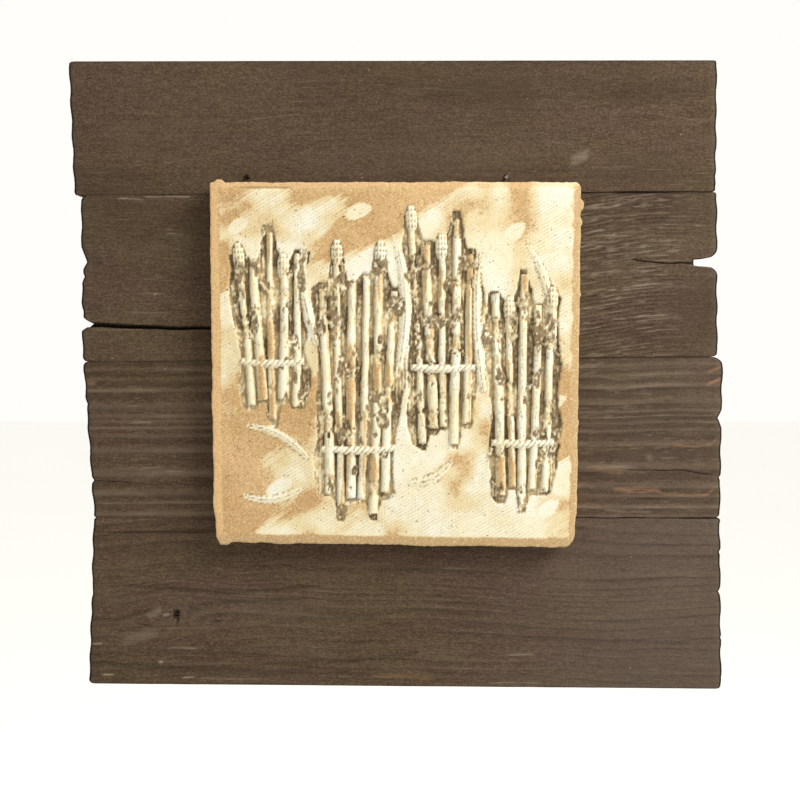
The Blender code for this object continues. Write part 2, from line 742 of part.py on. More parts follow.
def make_nail(name, x, collection, material):
    """A small nail, turned from its profile, with its shank through the loop and in the plank."""
    tip_y = PANEL_FRONT_Y + NAIL_GRIP
    shank = NAIL_DIAMETER / 2
    head = NAIL_HEAD_DIAMETER / 2
    length = tip_y - NAIL_HEAD_BACK_Y
    profile = (
        (0.0, NAIL_HEAD_THICKNESS),
        (head * 0.75, NAIL_HEAD_THICKNESS),
        (head, NAIL_HEAD_THICKNESS * 0.6),
        (head, 0.0),
        (shank, 0.0),
        (shank, NAIL_POINT_LENGTH - length),
        (0.0, -length),
    )
    mesh = bpy.data.meshes.new(name)
    mesh.from_pydata([(r, 0.0, z) for r, z in profile], [(i, i + 1) for i in range(len(profile) - 1)], [])
    nail = new_object(name, mesh)
    screw = nail.modifiers.new("turned", "SCREW")
    screw.steps = NAIL_SIDES
    screw.render_steps = NAIL_SIDES
    screw.use_merge_vertices = True
    screw.merge_threshold = 0.00001
    place = Matrix.Translation((x, NAIL_HEAD_BACK_Y, NAIL_Z))
    nail.matrix_world = place @ Matrix.Rotation(math.pi / 2, 4, "X")
    bpy.context.view_layer.update()
    turned = evaluated_mesh(nail)
    nail.modifiers.remove(screw)
    nail.data = turned
    shade_round(nail, 40)
    finish(nail, collection, material)


def main():
    remove_scene_objects()
    collection = new_collection("ceramic_wall_relief")
    wood = new_material("stained_wood", WOOD_STAIN)
    clay = new_material("fired_clay", FIRED_CLAY)
    wire = new_material("dark_wire", DARK_WIRE)
    steel = new_material("nail_steel", NAIL_STEEL)
    foot_z = PANEL_TOP_Z
    for plank in PLANKS:
        foot_z -= plank.height
        make_plank(plank, foot_z, collection, wood)
    make_tile(collection, clay)
    for side, x in (("left", LOOP_LEFT_X), ("right", LOOP_RIGHT_X)):
        make_loop("hanging_loop_" + side, x, collection, wire)
        make_nail("nail_" + side, x, collection, steel)


main()
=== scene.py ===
"""Looks of the ceramic wall relief: a fired clay tile hung on four stained planks.

Metres, +Z up, the front faces -Y. Sizes that the solids share are repeated by name.
"""

import math
from collections import namedtuple

import bpy
import numpy as np
from mathutils.kdtree import KDTree
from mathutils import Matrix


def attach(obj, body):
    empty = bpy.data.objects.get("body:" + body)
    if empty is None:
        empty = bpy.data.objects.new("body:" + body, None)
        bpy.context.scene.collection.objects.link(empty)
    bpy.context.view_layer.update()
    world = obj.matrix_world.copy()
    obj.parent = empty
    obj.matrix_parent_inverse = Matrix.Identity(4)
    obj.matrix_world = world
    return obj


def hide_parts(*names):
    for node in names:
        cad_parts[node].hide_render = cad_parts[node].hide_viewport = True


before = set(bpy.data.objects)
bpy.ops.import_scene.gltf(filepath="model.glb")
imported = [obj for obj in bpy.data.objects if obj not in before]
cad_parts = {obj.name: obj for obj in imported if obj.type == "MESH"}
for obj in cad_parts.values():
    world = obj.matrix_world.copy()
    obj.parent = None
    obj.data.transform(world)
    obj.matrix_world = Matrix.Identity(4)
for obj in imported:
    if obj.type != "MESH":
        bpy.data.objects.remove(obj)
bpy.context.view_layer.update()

MM = 0.001

# Panel of planks, as in the solids
PANEL_WIDTH = 0.351
PLANK_THICKNESS = 0.020
CONTACT_GAP = 0.0003
SAW_WAVE_DEPTH = 0.0003
SAW_WAVE_LENGTH = 0.017
SPLIT_PLANK = "plank_2_upper"
SPLIT_LENGTH = 0.115
SPLIT_MOUTH_WIDTH = 0.0024
SPLIT_TIP_WIDTH = 0.0006
SPLIT_HEIGHT_SHARE = 0.227
SPLIT_FALL = 0.0030
SPLIT_SLANT = 0.0060

# Tile, as in the solids
TILE_WIDTH = 0.1981
TILE_HEIGHT = 0.1948
TILE_TAPER = 0.0021
TILE_FOOT_RISE = -0.0030
TILE_BELOW_PANEL_TOP = 0.0667
TILE_THICKNESS = 0.014
TILE_CORNER_ROUNDS = {(-1, 1): 0.0015, (1, 1): 0.0035, (1, -1): 0.0075, (-1, -1): 0.0045}
RIM_WIDTH = 0.0050
RIM_ARRIS = 0.0012
RIM_DROP = 0.0016
RIM_SLOPE_SHARE = 0.4
REED_WIDTH = 0.0050
REED_RISE = 0.0015
REED_PITCH = 0.0058
REED_STAGGER = 0.055
REED_THINNING = 0.22
REED_WIDTH_SPREAD = 0.16
REED_SWAY = 0.10
BED_DEPTH = 0.0014
BED_MARGIN = 0.0024
BED_POINTS_PER_SIDE = 11
BED_RAGGEDNESS = 0.0012
LOBE_SPREAD = 0.11
BAND_WIDTH = 0.0050
BAND_RISE = 0.0024
BAND_OVERHANG = 0.0014
BAND_END_THICKNESS = 0.75
BAND_SAG = 0.25
SEED_HEAD_LENGTH = 0.0160
SEED_HEAD_WIDTH = 0.0068
SEED_HEAD_FLATNESS = 0.8
SEED_HEAD_SINK = 0.08
LEAF_WIDTH = 0.0070
LEAF_RISE = 0.0013
LEAF_TIP_FULLNESS = 0.16
LEAF_EDGE_LIFT = -0.3

End = namedtuple("End", "top foot top_corner foot_corner notches")
SHARP = 1.4
BLUNT = 0.7
Notch = namedtuple("Notch", "share half_height depth point", defaults=(SHARP,))
Plank = namedtuple("Plank", "name height top_rise foot_rise left right")

PLANKS = (
    Plank(
        "plank_1_top", 0.0714, 0.0006, 0.0019,
        End(-0.0015, 0.0006, (0.0020, 0.0012), (0.0018, 0.0025), ()),
        End(0.0012, 0.0010, (0.0010, 0.0010), (0.0020, 0.0014), (Notch(0.12, 0.0035, 0.0006),)),
    ),
    Plank(
        "plank_2_upper", 0.0900, 0.0019, 0.0028,
        End(
            0.0042, 0.0038, (0.0032, 0.0030), (0.0030, 0.0035),
            (
                Notch(0.600, 0.0085, 0.0028), Notch(0.512, 0.0040, 0.0017),
                Notch(0.300, 0.0055, 0.0009), Notch(SPLIT_HEIGHT_SHARE, 0.0040, 0.0062),
            ),
        ),
        End(0.0003, -0.0012, (0.0016, 0.0018), (0.0030, 0.0022), (Notch(0.575, 0.0050, 0.0126, BLUNT),)),
    ),
    Plank(
        "plank_3_lower", 0.0873, 0.0028, 0.0,
        End(
            0.0041, 0.0092, (0.0026, 0.0030), (0.0022, 0.0014),
            (Notch(0.73, 0.0040, 0.0010), Notch(0.24, 0.0022, 0.0013)),
        ),
        End(
            -0.0040, -0.0037, (0.0065, 0.0044), (0.0030, 0.0020),
            (Notch(0.62, 0.0052, 0.0019), Notch(0.25, 0.0018, 0.0008)),
        ),
    ),
    Plank(
        "plank_4_bottom", 0.0941, 0.0, -0.0030,
        End(0.0088, 0.0051, (0.0016, 0.0016), (0.0030, 0.0026), (Notch(0.54, 0.0060, 0.0010),)),
        End(
            -0.0036, -0.0057, (0.0026, 0.0016), (0.0024, 0.0026),
            (Notch(0.80, 0.0022, 0.0009), Notch(0.57, 0.0026, 0.0011), Notch(0.30, 0.0018, 0.0006)),
        ),
    ),
)

Sheaf = namedtuple("Sheaf", "middle foot length lean fan reeds heads band lobes")
Reed = namedtuple("Reed", "number foot tip thickness")
Lobe = namedtuple("Lobe", "side share reach")

SHEAVES = (
    Sheaf(
        -0.330, -0.120, 0.430, -0.012, 0.022, 5, (0, 3), 0.30,
        (Lobe(-1, 0.78, 0.0035), Lobe(1, 0.22, 0.0040)),
    ),
    Sheaf(
        -0.105, -0.385, 0.640, 0.006, 0.024, 6, (1, 4), 0.24,
        (Lobe(1, 0.60, 0.0045), Lobe(-1, 0.16, 0.0050)),
    ),
    Sheaf(
        0.132, -0.190, 0.540, -0.008, 0.022, 5, (0, 2), 0.34,
        (Lobe(-1, 0.12, 0.0040), Lobe(1, 0.70, 0.0030)),
    ),
    Sheaf(
        0.345, -0.365, 0.560, 0.002, 0.018, 5, (1, 4), 0.27,
        (Lobe(1, 0.36, 0.0050), Lobe(-1, 0.80, 0.0035)),
    ),
)

Leaf = namedtuple("Leaf", "root_x root_z tip_x tip_z bow")

LEAVES = (
    Leaf(-0.235, -0.260, -0.405, -0.165, 0.020),
    Leaf(-0.250, -0.340, -0.420, -0.360, -0.022),
    Leaf(-0.210, 0.050, -0.245, 0.350, -0.020),
    Leaf(0.010, -0.010, -0.010, 0.380, 0.026),
    Leaf(0.035, -0.330, 0.160, -0.260, 0.018),
    Leaf(0.240, -0.080, 0.228, 0.330, -0.016),
    Leaf(0.425, 0.060, 0.340, 0.360, 0.026),
)

PANEL_HEIGHT = sum(plank.height for plank in PLANKS)
PANEL_TOP_Z = PANEL_HEIGHT / 2
PANEL_FRONT_Y = -PLANK_THICKNESS
TILE_BACK_Y = PANEL_FRONT_Y - CONTACT_GAP
TILE_FACE_Y = TILE_BACK_Y - TILE_THICKNESS
TILE_TOP_Z = PANEL_TOP_Z - TILE_BELOW_PANEL_TOP
TILE_MIDDLE_Z = TILE_TOP_Z - TILE_HEIGHT / 2

# Camera, at the photo's angle: a little above the middle and looking slightly down
CAMERA_LENS = 61.0
CAMERA_SENSOR = 36.0
CAMERA_PITCH = math.radians(3.2)
CAMERA_PLACE = (0.0025, -0.7610, 0.0291)

# Lamp up at the right, turned to the middle, and floor below the panel
LAMP_SIZE = (0.7, 0.5)
LAMP_POWER = 22.0
LAMP_PLACE = (0.80, -0.60, 0.65)
FLOOR_REACH = 8.0
FLOOR_LEVEL = -0.6

# Imprint of the cloth: distance between the diagonal ribs, distance of the yarns along them
# and how steeply the ribs rise to the right
TWILL_PITCH = 0.00165
YARN_PITCH = 0.0019
TWILL_ANGLE = 30.6

# How much light falls on the front, against the white of the background
LIGHT_LEVEL = 1.79

NOISE_TABLE = 128


# Numbers and noise


def unit(value):
    """The value, held between 0 and 1."""
    return np.clip(value, 0.0, 1.0)


def ramp(low, high, value):
    """0 below low, 1 above high, smooth between. Low may be above high."""
    share = unit((value - low) / (high - low))
    return share * share * (3.0 - 2.0 * share)


def value_noise(u, v, seed):
    """Smooth noise between -1 and 1, with about one bump in each unit of u and v."""
    table = np.random.default_rng(seed).uniform(-1.0, 1.0, (NOISE_TABLE, NOISE_TABLE))
    column, row = np.floor(u).astype(int), np.floor(v).astype(int)
    across, up = ramp(0.0, 1.0, u - column), ramp(0.0, 1.0, v - row)
    low, high = (
        table[line, column % NOISE_TABLE] * (1 - across) + table[line, (column + 1) % NOISE_TABLE] * across
        for line in (row % NOISE_TABLE, (row + 1) % NOISE_TABLE)
    )
    return low * (1 - up) + high * up


def fractal(u, v, seed, octaves=3):
    """Noise summed over finer and finer bumps."""
    total = weight = 0.0
    for octave in range(octaves):
        share, finer = 0.5 ** octave, 2 ** octave
        total = total + share * value_noise(u * finer + 7.3 * octave, v * finer, seed + octave)
        weight += share
    return total / weight


def cloudy(x, z, length, height, seed, octaves=3):
    """Fractal noise at places in metres, its bumps of a length and height in millimetres."""
    return fractal(x / (length * MM), z / (height * MM), seed, octaves)


def graded(length, edge_steps, pitch):
    """Positions from 0 to length with fine steps at both edges and an even pitch between."""
    edge = np.cumsum([0.0] + list(edge_steps))
    inner = length - 2 * edge[-1]
    count = max(2, int(round(inner / pitch)))
    middle = edge[-1] + inner * np.arange(1, count) / count
    return np.concatenate([edge, middle, length - edge[::-1]])


# Meshes


# Width of the border round a piece's flat back, and how sharp an edge looks hard, in degrees
BACK_BORDER = 0.8 * MM
SHARP_ANGLE = 65


def add(name, data):
    """A new object in the scene."""
    piece = bpy.data.objects.new(name, data)
    bpy.context.scene.collection.objects.link(piece)
    return piece


def closed_slab(name, x, y, z, back_y, side_steps, paint, side_rough=0.0, core=None):
    """A closed mesh: a front grid, sides that run back from its edge and a flat back.

    x, y and z hold the front's points, rows from the foot up and columns from the left.
    paint gives each attribute its values on the front, on the sides and on the back; values
    on the sides may differ along the edge and from step to step. The sides run towards the
    outline of core, where it is given as x and z.
    """
    rows, columns = x.shape
    index = np.arange(rows * columns).reshape(rows, columns)
    ring = np.concatenate([index[0, :-1], index[:-1, -1], index[-1, :0:-1], index[:0:-1, 0]])
    front = np.stack([x, y, z], axis=-1).reshape(-1, 3)
    edge = front[ring]
    middle = np.array([(x.min() + x.max()) / 2, 0.0, (z.min() + z.max()) / 2])
    outward = (edge - middle) * (1.0, 0.0, 1.0)
    outward /= np.linalg.norm(outward, axis=1)[:, None]
    along = np.arange(len(ring))
    points = [front]
    rings = [ring]
    for step in range(side_steps):
        share = (step + 1) / side_steps
        level = edge.copy()
        level[:, 1] += (back_y - edge[:, 1]) * share
        if core is not None:
            inner = np.stack([plane.reshape(-1)[ring] for plane in core], axis=-1)
            level[:, (0, 2)] += (inner - edge[:, (0, 2)]) * ramp(0.0, 0.6, share)
        if share < 1:
            rough = fractal(along / 3.0, 2.2 * (step + 1), 901)
            level -= outward * (side_rough * (0.5 + 0.5 * rough))[:, None]
        points.append(level)
        rings.append(len(front) + step * len(ring) + along)
    points.append(points[-1] - outward * BACK_BORDER)
    rings.append(rings[-1] + len(ring))
    points.append([[middle[0], back_y, middle[2]]])
    points = np.concatenate(points)
    corners = [index[:-1, :-1], index[:-1, 1:], index[1:, 1:], index[1:, :-1]]
    faces = np.stack(corners, axis=-1).reshape(-1, 4).tolist()
    for near, far in zip(rings, rings[1:]):
        faces += np.stack([near, far, np.roll(far, -1), np.roll(near, -1)], axis=-1).tolist()
    centre = np.full(len(ring), len(points) - 1)
    faces += np.stack([np.roll(rings[-1], -1), rings[-1], centre], axis=-1).tolist()
    mesh = bpy.data.meshes.new(name)
    mesh.from_pydata(points.tolist(), [], faces)
    mesh.update()
    for title, (values, sides, back) in paint.items():
        sides = np.broadcast_to(sides, (side_steps, len(ring)))
        everywhere = np.concatenate([values.reshape(-1), sides.reshape(-1), np.full(len(ring) + 1, back)])
        attribute = mesh.attributes.new(title, "FLOAT", "POINT")
        attribute.data.foreach_set("value", everywhere.astype(np.float32))
    mesh.shade_smooth()
    mesh.set_sharp_from_angle(angle=math.radians(SHARP_ANGLE))
    return add(name, mesh)


# Planks


Knot = namedtuple("Knot", "x z width height")
Mark = namedtuple("Mark", "kind x z length height slant strength")

# A long mark through points, each with its x, its z and half its height
Streak = namedtuple("Streak", "kind strength points")

# Rise of the growth rings to the right, from one x on to another where they bend level
Slant = namedtuple("Slant", "rise start bend", defaults=(-200.0, 400.0))
BEND_LENGTH = 8.0


def streaks(kind, *rows):
    """Streaks of one kind, each with its strength and its points."""
    return [Streak(kind, row[0], row[1:]) for row in rows]


def dashes(kind, *rows):
    """Marks of one kind, each with its x, z, length, height, slant and strength."""
    return [Mark(kind, *row) for row in rows]


# The wood of one plank. Rings are the distance between growth rings, or their places, in
# millimetres; depth is that of the ridges, shown in full between the two x of ridged and
# by a share elsewhere; dark and the field after it are the strengths of the rings' dark and light lines,
# which are partly grain and partly painted shade under each ridge and painted highlight on its crest;
# bands is the strength of the broad dark bands between them; run is the length of the
# stretches that the lines are broken into; grey is how weathered the right half is.
Wood = namedtuple(
    "Wood", "rings depth ridged elsewhere dark crest bands wave slant run seed tone grey knots marks"
)

# Places of knots and marks are in millimetres from the panel's middle
WOODS = {
    "plank_1_top": Wood(
        9.0, 0.10, (-40.0, 40.0), 0.6, 0.14, 0.06, 0.05, 3.0, Slant(0.020), 60.0, 11, -0.10, 0.0, (),
        dashes(
            "light",
            (99.9, 120.2, 12, 4.2, 0.5, 0.42), (86, 127.4, 24, 0.5, -0.06, 0.2),
            (-60, 142, 70, 0.35, 0.12, 0.18), (-110, 119, 50, 0.3, 0.2, 0.2),
            (158, 140.3, 30, 0.5, -0.1, 0.18), (20, 156, 46, 0.3, -0.05, 0.16),
            (116, 113.7, 22, 0.4, -0.1, 0.2),
        )
        + dashes("dark", (-20, 162, 120, 0.8, 0.01, 0.14), (60, 112, 150, 1.2, 0.02, 0.16)),
    ),
    "plank_2_upper": Wood(
        2.3, 0.42, (96.0, 138.0), 0.12, 0.72, 1.05, 0.15, 1.6,
        Slant(0.17, 60.0, 142.0), 9.0, 23, -0.14, 0.1, (),
        streaks("crack", (0.85, (128, 64.5, 0.1), (139.2, 63, 0.2), (151.2, 62, 0.22), (164, 62.4, 0.35)))
        + streaks(
            "light",
            (0.55, (103.9, 92, 0.4), (117.9, 92.8, 0.4), (122.3, 94.4, 0.4), (134.6, 98.6, 0.4)),
            (0.6, (102.2, 78.6, 0.4), (114.5, 80.6, 0.4)),
            (0.65, (108.4, 76.8, 0.4), (121.2, 77.9, 0.4)),
            (0.65, (103.4, 72.6, 0.4), (116.8, 74.6, 0.4)),
            (0.55, (106.7, 70.4, 0.4), (113.4, 72.1, 0.4)),
            (0.5, (106.7, 86.1, 0.4), (116.2, 88.1, 0.4)), (0.5, (103.4, 55.5, 0.4), (114, 56.9, 0.4)),
            (0.6, (103.4, 45.8, 0.6), (111.2, 47.8, 0.4), (121.2, 47.8, 0.3)),
            (0.6, (122.8, 48.8, 0.3), (131.3, 49.9, 0.3), (139.2, 51, 0.3), (152.9, 50.6, 0.3)),
            (0.55, (117.9, 31.7, 0.3), (130.2, 32.8, 0.3), (136.9, 33.9, 0.3), (157, 33.3, 0.2)),
            (0.5, (100.6, 37.5, 0.3), (116.2, 38.4, 0.3)), (0.45, (102.2, 29.8, 0.3), (109, 29.6, 0.3)),
            (0.6, (129, 41.4, 0.4), (137.4, 41.4, 0.3)), (0.45, (162.5, 39.2, 0.4), (167.5, 39.2, 0.3)),
            (0.4, (142.5, 74, 0.3), (156.2, 75.3, 0.4)), (0.45, (146.9, 68.5, 0.3), (155.1, 69, 0.4)),
            (0.45, (142.5, 81.8, 0.5), (146.3, 81.4, 0.4)), (0.45, (161.4, 83.1, 0.4), (170.4, 82, 0.4)),
        )
        + dashes(
            "light",
            (-143.8, 97, 17, 0.45, -0.04, 0.7), (-131, 98.3, 13, 0.45, 0, 0.6),
            (-118.5, 98.2, 17, 0.5, 0, 0.75), (-123, 80.4, 4.5, 0.35, 0, 0.6),
            (-121.8, 78.2, 7, 0.35, 0, 0.45), (-133.6, 53.5, 9, 0.35, 0, 0.4),
            (-132.5, 45.8, 16, 0.35, -0.04, 0.4), (-131.2, 45.9, 1.6, 0.8, 0, 1),
            (-106.2, 47.6, 1.4, 0.8, 0.6, 0.9),
        )
        + dashes("dark", (-162, 62.4, 6, 4, 0, 0.45), (-164, 37.8, 10, 3, 0, 0.3))
        + dashes("light", (-135, 35.4, 26, 0.5, -0.03, 0.28), (-150, 26, 30, 0.45, 0, 0.3)),
    ),
    "plank_3_lower": Wood(
        (
            -98, -89, -82, -75.8, -70.2, -63.9, -59.4, -49.4, -36.2, -27.8,
            -23.3, -19.7, -17.2, -13.1, -3.7, 2.8, 7.7, 14, 22, 32,
        ),
        0.55, (100.0, 138.0), 0.52, 0.75, 0.70, 1.20, 1.0, Slant(0.010), 30.0, 37, 0.12, 0.36, (),
        streaks(
            "crack",
            (
                0.6, (126, -50.6, 0.1), (146, -51.1, 0.1), (157, -51.2, 0.2), (168.2, -52.8, 0.2),
                (174.5, -53.3, 0.2),
            ),
        )
        + dashes("crack", (-160, -57, 36, 0.25, -0.04, 0.6))
        + streaks(
            "tan",
            (
                0.5, (120, -37, 0.2), (140.3, -36.8, 0.3), (150.2, -37, 0.5), (156.7, -37.4, 0.5),
                (162.7, -37.9, 0.3), (168.2, -37.6, 0.4), (172.6, -36.8, 0.6), (174.8, -35.4, 0.6),
                (178, -31.8, 0.5),
            ),
            (0.5, (104, -48.5, 0.6), (110, -49.6, 1), (119.5, -51.2, 1.3), (126, -51.7, 0.4)),
            (0.25, (156, -47.5, 0.5), (170, -48, 0.7), (176, -45.1, 0.6)),
            (
                0.55, (119, -61.4, 0.6), (132.4, -62.3, 1.3), (138.1, -61.9, 1.3), (143.6, -61.9, 1.2),
                (146.9, -63.8, 0.5), (156.7, -64.5, 0.5), (162.5, -64.8, 0.6), (168.2, -64.9, 0.8),
                (172, -63.9, 0.8), (174.8, -61.7, 0.6), (176.4, -57.7, 0.4),
            ),
            (0.45, (100.6, -70.6, 0.8), (107.8, -70.2, 0.9), (114.5, -71.7, 0.5)),
        )
        + streaks("light", (0.22, (114, -73, 0.5), (126, -73.6, 0.7), (140, -74.2, 0.4)))
        + dashes(
            "tan",
            (175, 4.4, 10, 1.2, 0.45, 0.7), (175, -2.5, 11, 1.3, 0.4, 0.8),
            (-168, -2.2, 9, 2, -0.1, 0.45),
        )
        + dashes(
            "light",
            (-141, -11.1, 5, 0.4, 0, 0.55), (-144, -15.8, 7.4, 0.35, 0, 0.5),
            (-126, -14.6, 8.7, 0.35, 0, 0.55), (-139, -24.6, 13.6, 0.35, 0, 0.55),
            (-140, -30, 7.4, 0.35, 0, 0.5), (-134, -49.4, 14.9, 0.4, 0, 0.45),
            (-122, -51.8, 12.4, 0.4, 0, 0.5),
        ),
    ),
    "plank_4_bottom": Wood(
        5.4, 0.26, (-20.0, 60.0), 0.85, 0.50, 0.16, 0.16, 4.2, Slant(-0.010), 50.0, 53, -0.02, 0.8,
        (Knot(-127.1, -131.1, 12.0, 5.5),),
        dashes("tan", (5, -166, 40, 1.8, 0, 0.4))
        + dashes(
            "light",
            (69, -153.7, 20, 0.8, 0, 0.5), (66, -169.3, 34, 0.4, 0, 0.5),
            (33.4, -105.4, 18, 0.35, 0, 0.4), (52, -121.5, 22, 0.5, 0, 0.25),
            (-165.1, -147.3, 6.5, 0.7, 0, 1), (-159.1, -164.6, 8, 0.6, 0, 1),
            (-114.7, -166.3, 8, 0.6, 0, 0.7), (-91.1, -167, 44, 0.4, 0, 0.4),
            (-129.6, -157.7, 3, 1, 0, 0.9), (-118, -149.8, 20, 0.5, 0, 0.55),
            (-141, -143, 24, 4.6, 0.1, 0.22), (-133.1, -130.1, 9, 3.2, 0.3, 0.4),
            (-126.6, -131.2, 4, 1.2, 0, 0.7),
        )
        + dashes("crack", (-133.5, -85.2, 68, 0.3, 0, 0.6))
        + dashes(
            "dark",
            (-121.3, -129.2, 4.4, 3.6, 0.2, 1), (-120.7, -132, 1.5, 6.4, 0.3, 1),
            (-139.1, -136.8, 12, 0.9, -0.18, 0.7), (-99.6, -135.6, 9, 1.8, 0.25, 0.6),
            (-111.1, -129, 9, 2.4, 0, 0.35), (38, -124.6, 34, 0.9, 0.03, 0.35),
            (-60, -163, 200, 1.6, -0.03, 0.25),
        )
        + streaks(
            "dark",
            (0.34, (-174, -157.6, 1), (-136, -160.4, 1.5), (-96, -162.6, 1.5), (-50, -162.9, 1)),
            (0.3, (-150, -114.9, 0.7), (-112, -117.6, 1.2), (-86, -118.2, 1.2), (-40, -114.8, 0.8)),
            (0.26, (-116, -126.2, 0.7), (-84, -123.4, 1), (-50, -122.4, 0.8)),
            (0.32, (-172, -134.6, 0.9), (-152, -133.6, 1.3), (-141, -129.6, 1), (-133, -128.4, 0.6)),
            (0.2, (-172, -152.6, 0.9), (-120, -152.2, 1.2), (-70, -153.6, 0.8)),
            (0.24, (-74, -158.6, 0.8), (-30, -157.2, 1.2), (14, -152.6, 0.8)),
            (0.22, (-69, -134.7, 0.8), (-24, -132.4, 1.1), (19, -127.6, 0.8)),
            (0.18, (68, -144, 0.6), (116, -145.6, 0.9), (164, -146.8, 0.6)),
        ),
    ),
}


# Shape of the blunt notch: a slot with round lips, as shares of the notch's half height and depth
SLOT_SIDE = 0.48
SLOT_SLOPE = 0.12
SLOT_LIP_END = 1.55
SLOT_LIP_DEPTH = 0.42


def end_inset(plank, end, share, side):
    """How far a plank's end lies inside the panel's side, at shares of the plank's height."""
    height = share * plank.height
    inset = end.foot + (end.top - end.foot) * share
    for distance, corner in ((height, end.foot_corner), (plank.height - height, end.top_corner)):
        width, tall = corner
        reach = unit(1 - distance / tall)
        inset = inset + width * (1 - np.sqrt(1 - reach * reach))
    for notch in end.notches:
        reach = np.abs(height - notch.share * plank.height) / notch.half_height
        if notch.point < 1:
            lip = 1 - np.sqrt(1 - unit((SLOT_LIP_END - reach) / (SLOT_LIP_END - SLOT_SIDE)) ** 2)
            slot = ramp(SLOT_SIDE + SLOT_SLOPE, SLOT_SIDE - SLOT_SLOPE, reach)
            shape = np.maximum(slot, SLOT_LIP_DEPTH * lip)
        else:
            shape = (1 - unit(reach)) ** notch.point
        inset = inset + notch.depth * shape
    inset = inset + SAW_WAVE_DEPTH * np.sin(2 * math.pi * (height / SAW_WAVE_LENGTH + side / 8))
    rag = fractal(height / (2.2 * MM), 4.0 + side, 71)
    return inset + (0.26 + 0.11 * rag) * MM


def plank_z(plank, foot_z, x, share):
    foot = foot_z + CONTACT_GAP / 2 + plank.foot_rise * x / PANEL_WIDTH
    top = foot_z + plank.height - CONTACT_GAP / 2 + plank.top_rise * x / PANEL_WIDTH
    return foot + (top - foot) * share


def arris_drop(distance, radius):
    """How far a rounded edge lies behind the face, at a distance from the outline."""
    reach = unit(1 - distance / radius)
    return radius * (1 - np.sqrt(1 - reach * reach))


def ring_places(wood, x, z):
    """Place between two growth rings, from 0 to 1 upwards, the ring's number and the height along
    the grain, for x and z in millimetres."""
    before_bend = (wood.slant.bend - np.maximum(x, wood.slant.start)) / BEND_LENGTH
    level = z + wood.slant.rise * BEND_LENGTH * np.log1p(np.exp(before_bend))
    level = level + wood.wave * value_noise(x / 95.0, z / 60.0, wood.seed)
    level = level + 0.35 * wood.wave * value_noise(x / 30.0, z / 22.0, wood.seed + 1)
    for knot in wood.knots:
        near = np.exp(-((x - knot.x) / (3.2 * knot.width)) ** 2 - ((z - knot.z) / (3.0 * knot.height)) ** 2)
        level = level - 0.80 * (z - knot.z) * near
    if isinstance(wood.rings, tuple):
        rings = np.interp(level, wood.rings, np.arange(len(wood.rings)))
    else:
        rings = level / wood.rings
        rings = rings + 1.3 * value_noise(level / 19.0, 0.0, wood.seed + 2)
    for knot in wood.knots:
        spread = np.sqrt(((x - knot.x) / knot.width) ** 2 + ((z - knot.z) / knot.height) ** 2)
        inside = ramp(1.25, 0.85, spread)
        rings = rings * (1 - inside) + inside * 2.6 * spread
    number = np.floor(rings)
    return rings - number, number, level


def mark_shade(mark, x, z, seed):
    """Strength of a mark, with soft ends and edges broken up along the grain."""
    across = (z - mark.z) - mark.slant * (x - mark.x)
    along = (x - mark.x) / (mark.length / 2)
    broken = 0.75 + 0.6 * fractal(x / 7.0, z / 0.8, seed)
    wander = 0.6 * mark.height * value_noise(x / 8.0, 0.0, seed + 5)
    shade = ramp(1.0, 0.55, np.abs(along)) * ramp(1.0, 0.25, np.abs(across - wander) / (mark.height + 0.10))
    return mark.strength * shade * np.clip(broken, 0.0, 1.2)


def streak_shade(streak, x, z, seed):
    """Strength of a streak, with soft edges and tapering ends; pale ones are broken up."""
    places, heights, halves = (np.array(values) for values in zip(*streak.points))
    middle = np.interp(x, places, heights) + 0.30 * value_noise(x / 5.0, 0.0, seed + 5)
    half = np.interp(x, places, halves) * (1.0 + 0.45 * value_noise(x / 3.0, z / 2.0, seed + 6)) + 0.10
    ends = ramp(places[0] - 0.5, places[0] + 3.0, x) * ramp(places[-1] + 0.5, places[-1] - 3.0, x)
    shade = streak.strength * ends * ramp(1.9, 0.2, np.abs(z - middle) / half)
    if streak.kind in ("light", "tan"):
        shade = shade * np.clip(0.70 + 1.4 * fractal(x / 4.0, z / 0.6, seed), 0.05, 1.3)
    return shade


# Painted shade on the long edges of each plank, which also widens their seam and rounds them more: top
# left, top right, foot left, foot right
EDGE_PAINTED_SHADE_AND_WEAR = {
    "plank_1_top": (0.5, 0.5, 0.05, 1.0),
    "plank_2_upper": (0.05, 1.0, 0.15, 0.35),
    "plank_3_lower": (0.15, 0.35, 0.0, 0.75),
    "plank_4_bottom": (0.0, 0.75, 0.6, 0.6),
}
# Strength of the short pale flecks against that of the rings' pale lines
DASH_SHARE = 0.45
# Gap between neighbouring planks, and how far their long edges are worn round
SEAM_GAP = 0.00012
SEAM_WEAR = 0.55


def split_place(plank, foot_z, x):
    """Height of the split's middle on the plank's front, and half its width, at places x."""
    mouth_x = -PANEL_WIDTH / 2 - PLANK_THICKNESS
    share = unit((x - mouth_x) / (SPLIT_LENGTH + PLANK_THICKNESS))
    wander = 0.35 * MM * np.sin(9.0 * share) + 0.15 * MM * np.sin(31.0 * share)
    middle = plank_z(plank, foot_z, mouth_x, SPLIT_HEIGHT_SHARE) - SPLIT_FALL * share + wander
    return middle, (SPLIT_MOUTH_WIDTH + (SPLIT_TIP_WIDTH - SPLIT_MOUTH_WIDTH) * share) / 2


# Rings of points between a plank's front and its back, and how rough the sawn sides are
SIDE_STEPS = 6
SIDE_ROUGHNESS = 0.25 * MM
# Distance in the end grain between planks whose seeds differ by 1, in metres
END_GRAIN_STEP = 0.013
# Steps of a plank's grid in millimetres, up and across: at its edges and between them
EDGE_STEPS = ((0.15, 0.20, 0.30, 0.35), (0.20, 0.30, 0.40, 0.60))
PITCHES = (0.42, 1.15)
SPLIT_PITCHES = (0.32, 1.35)


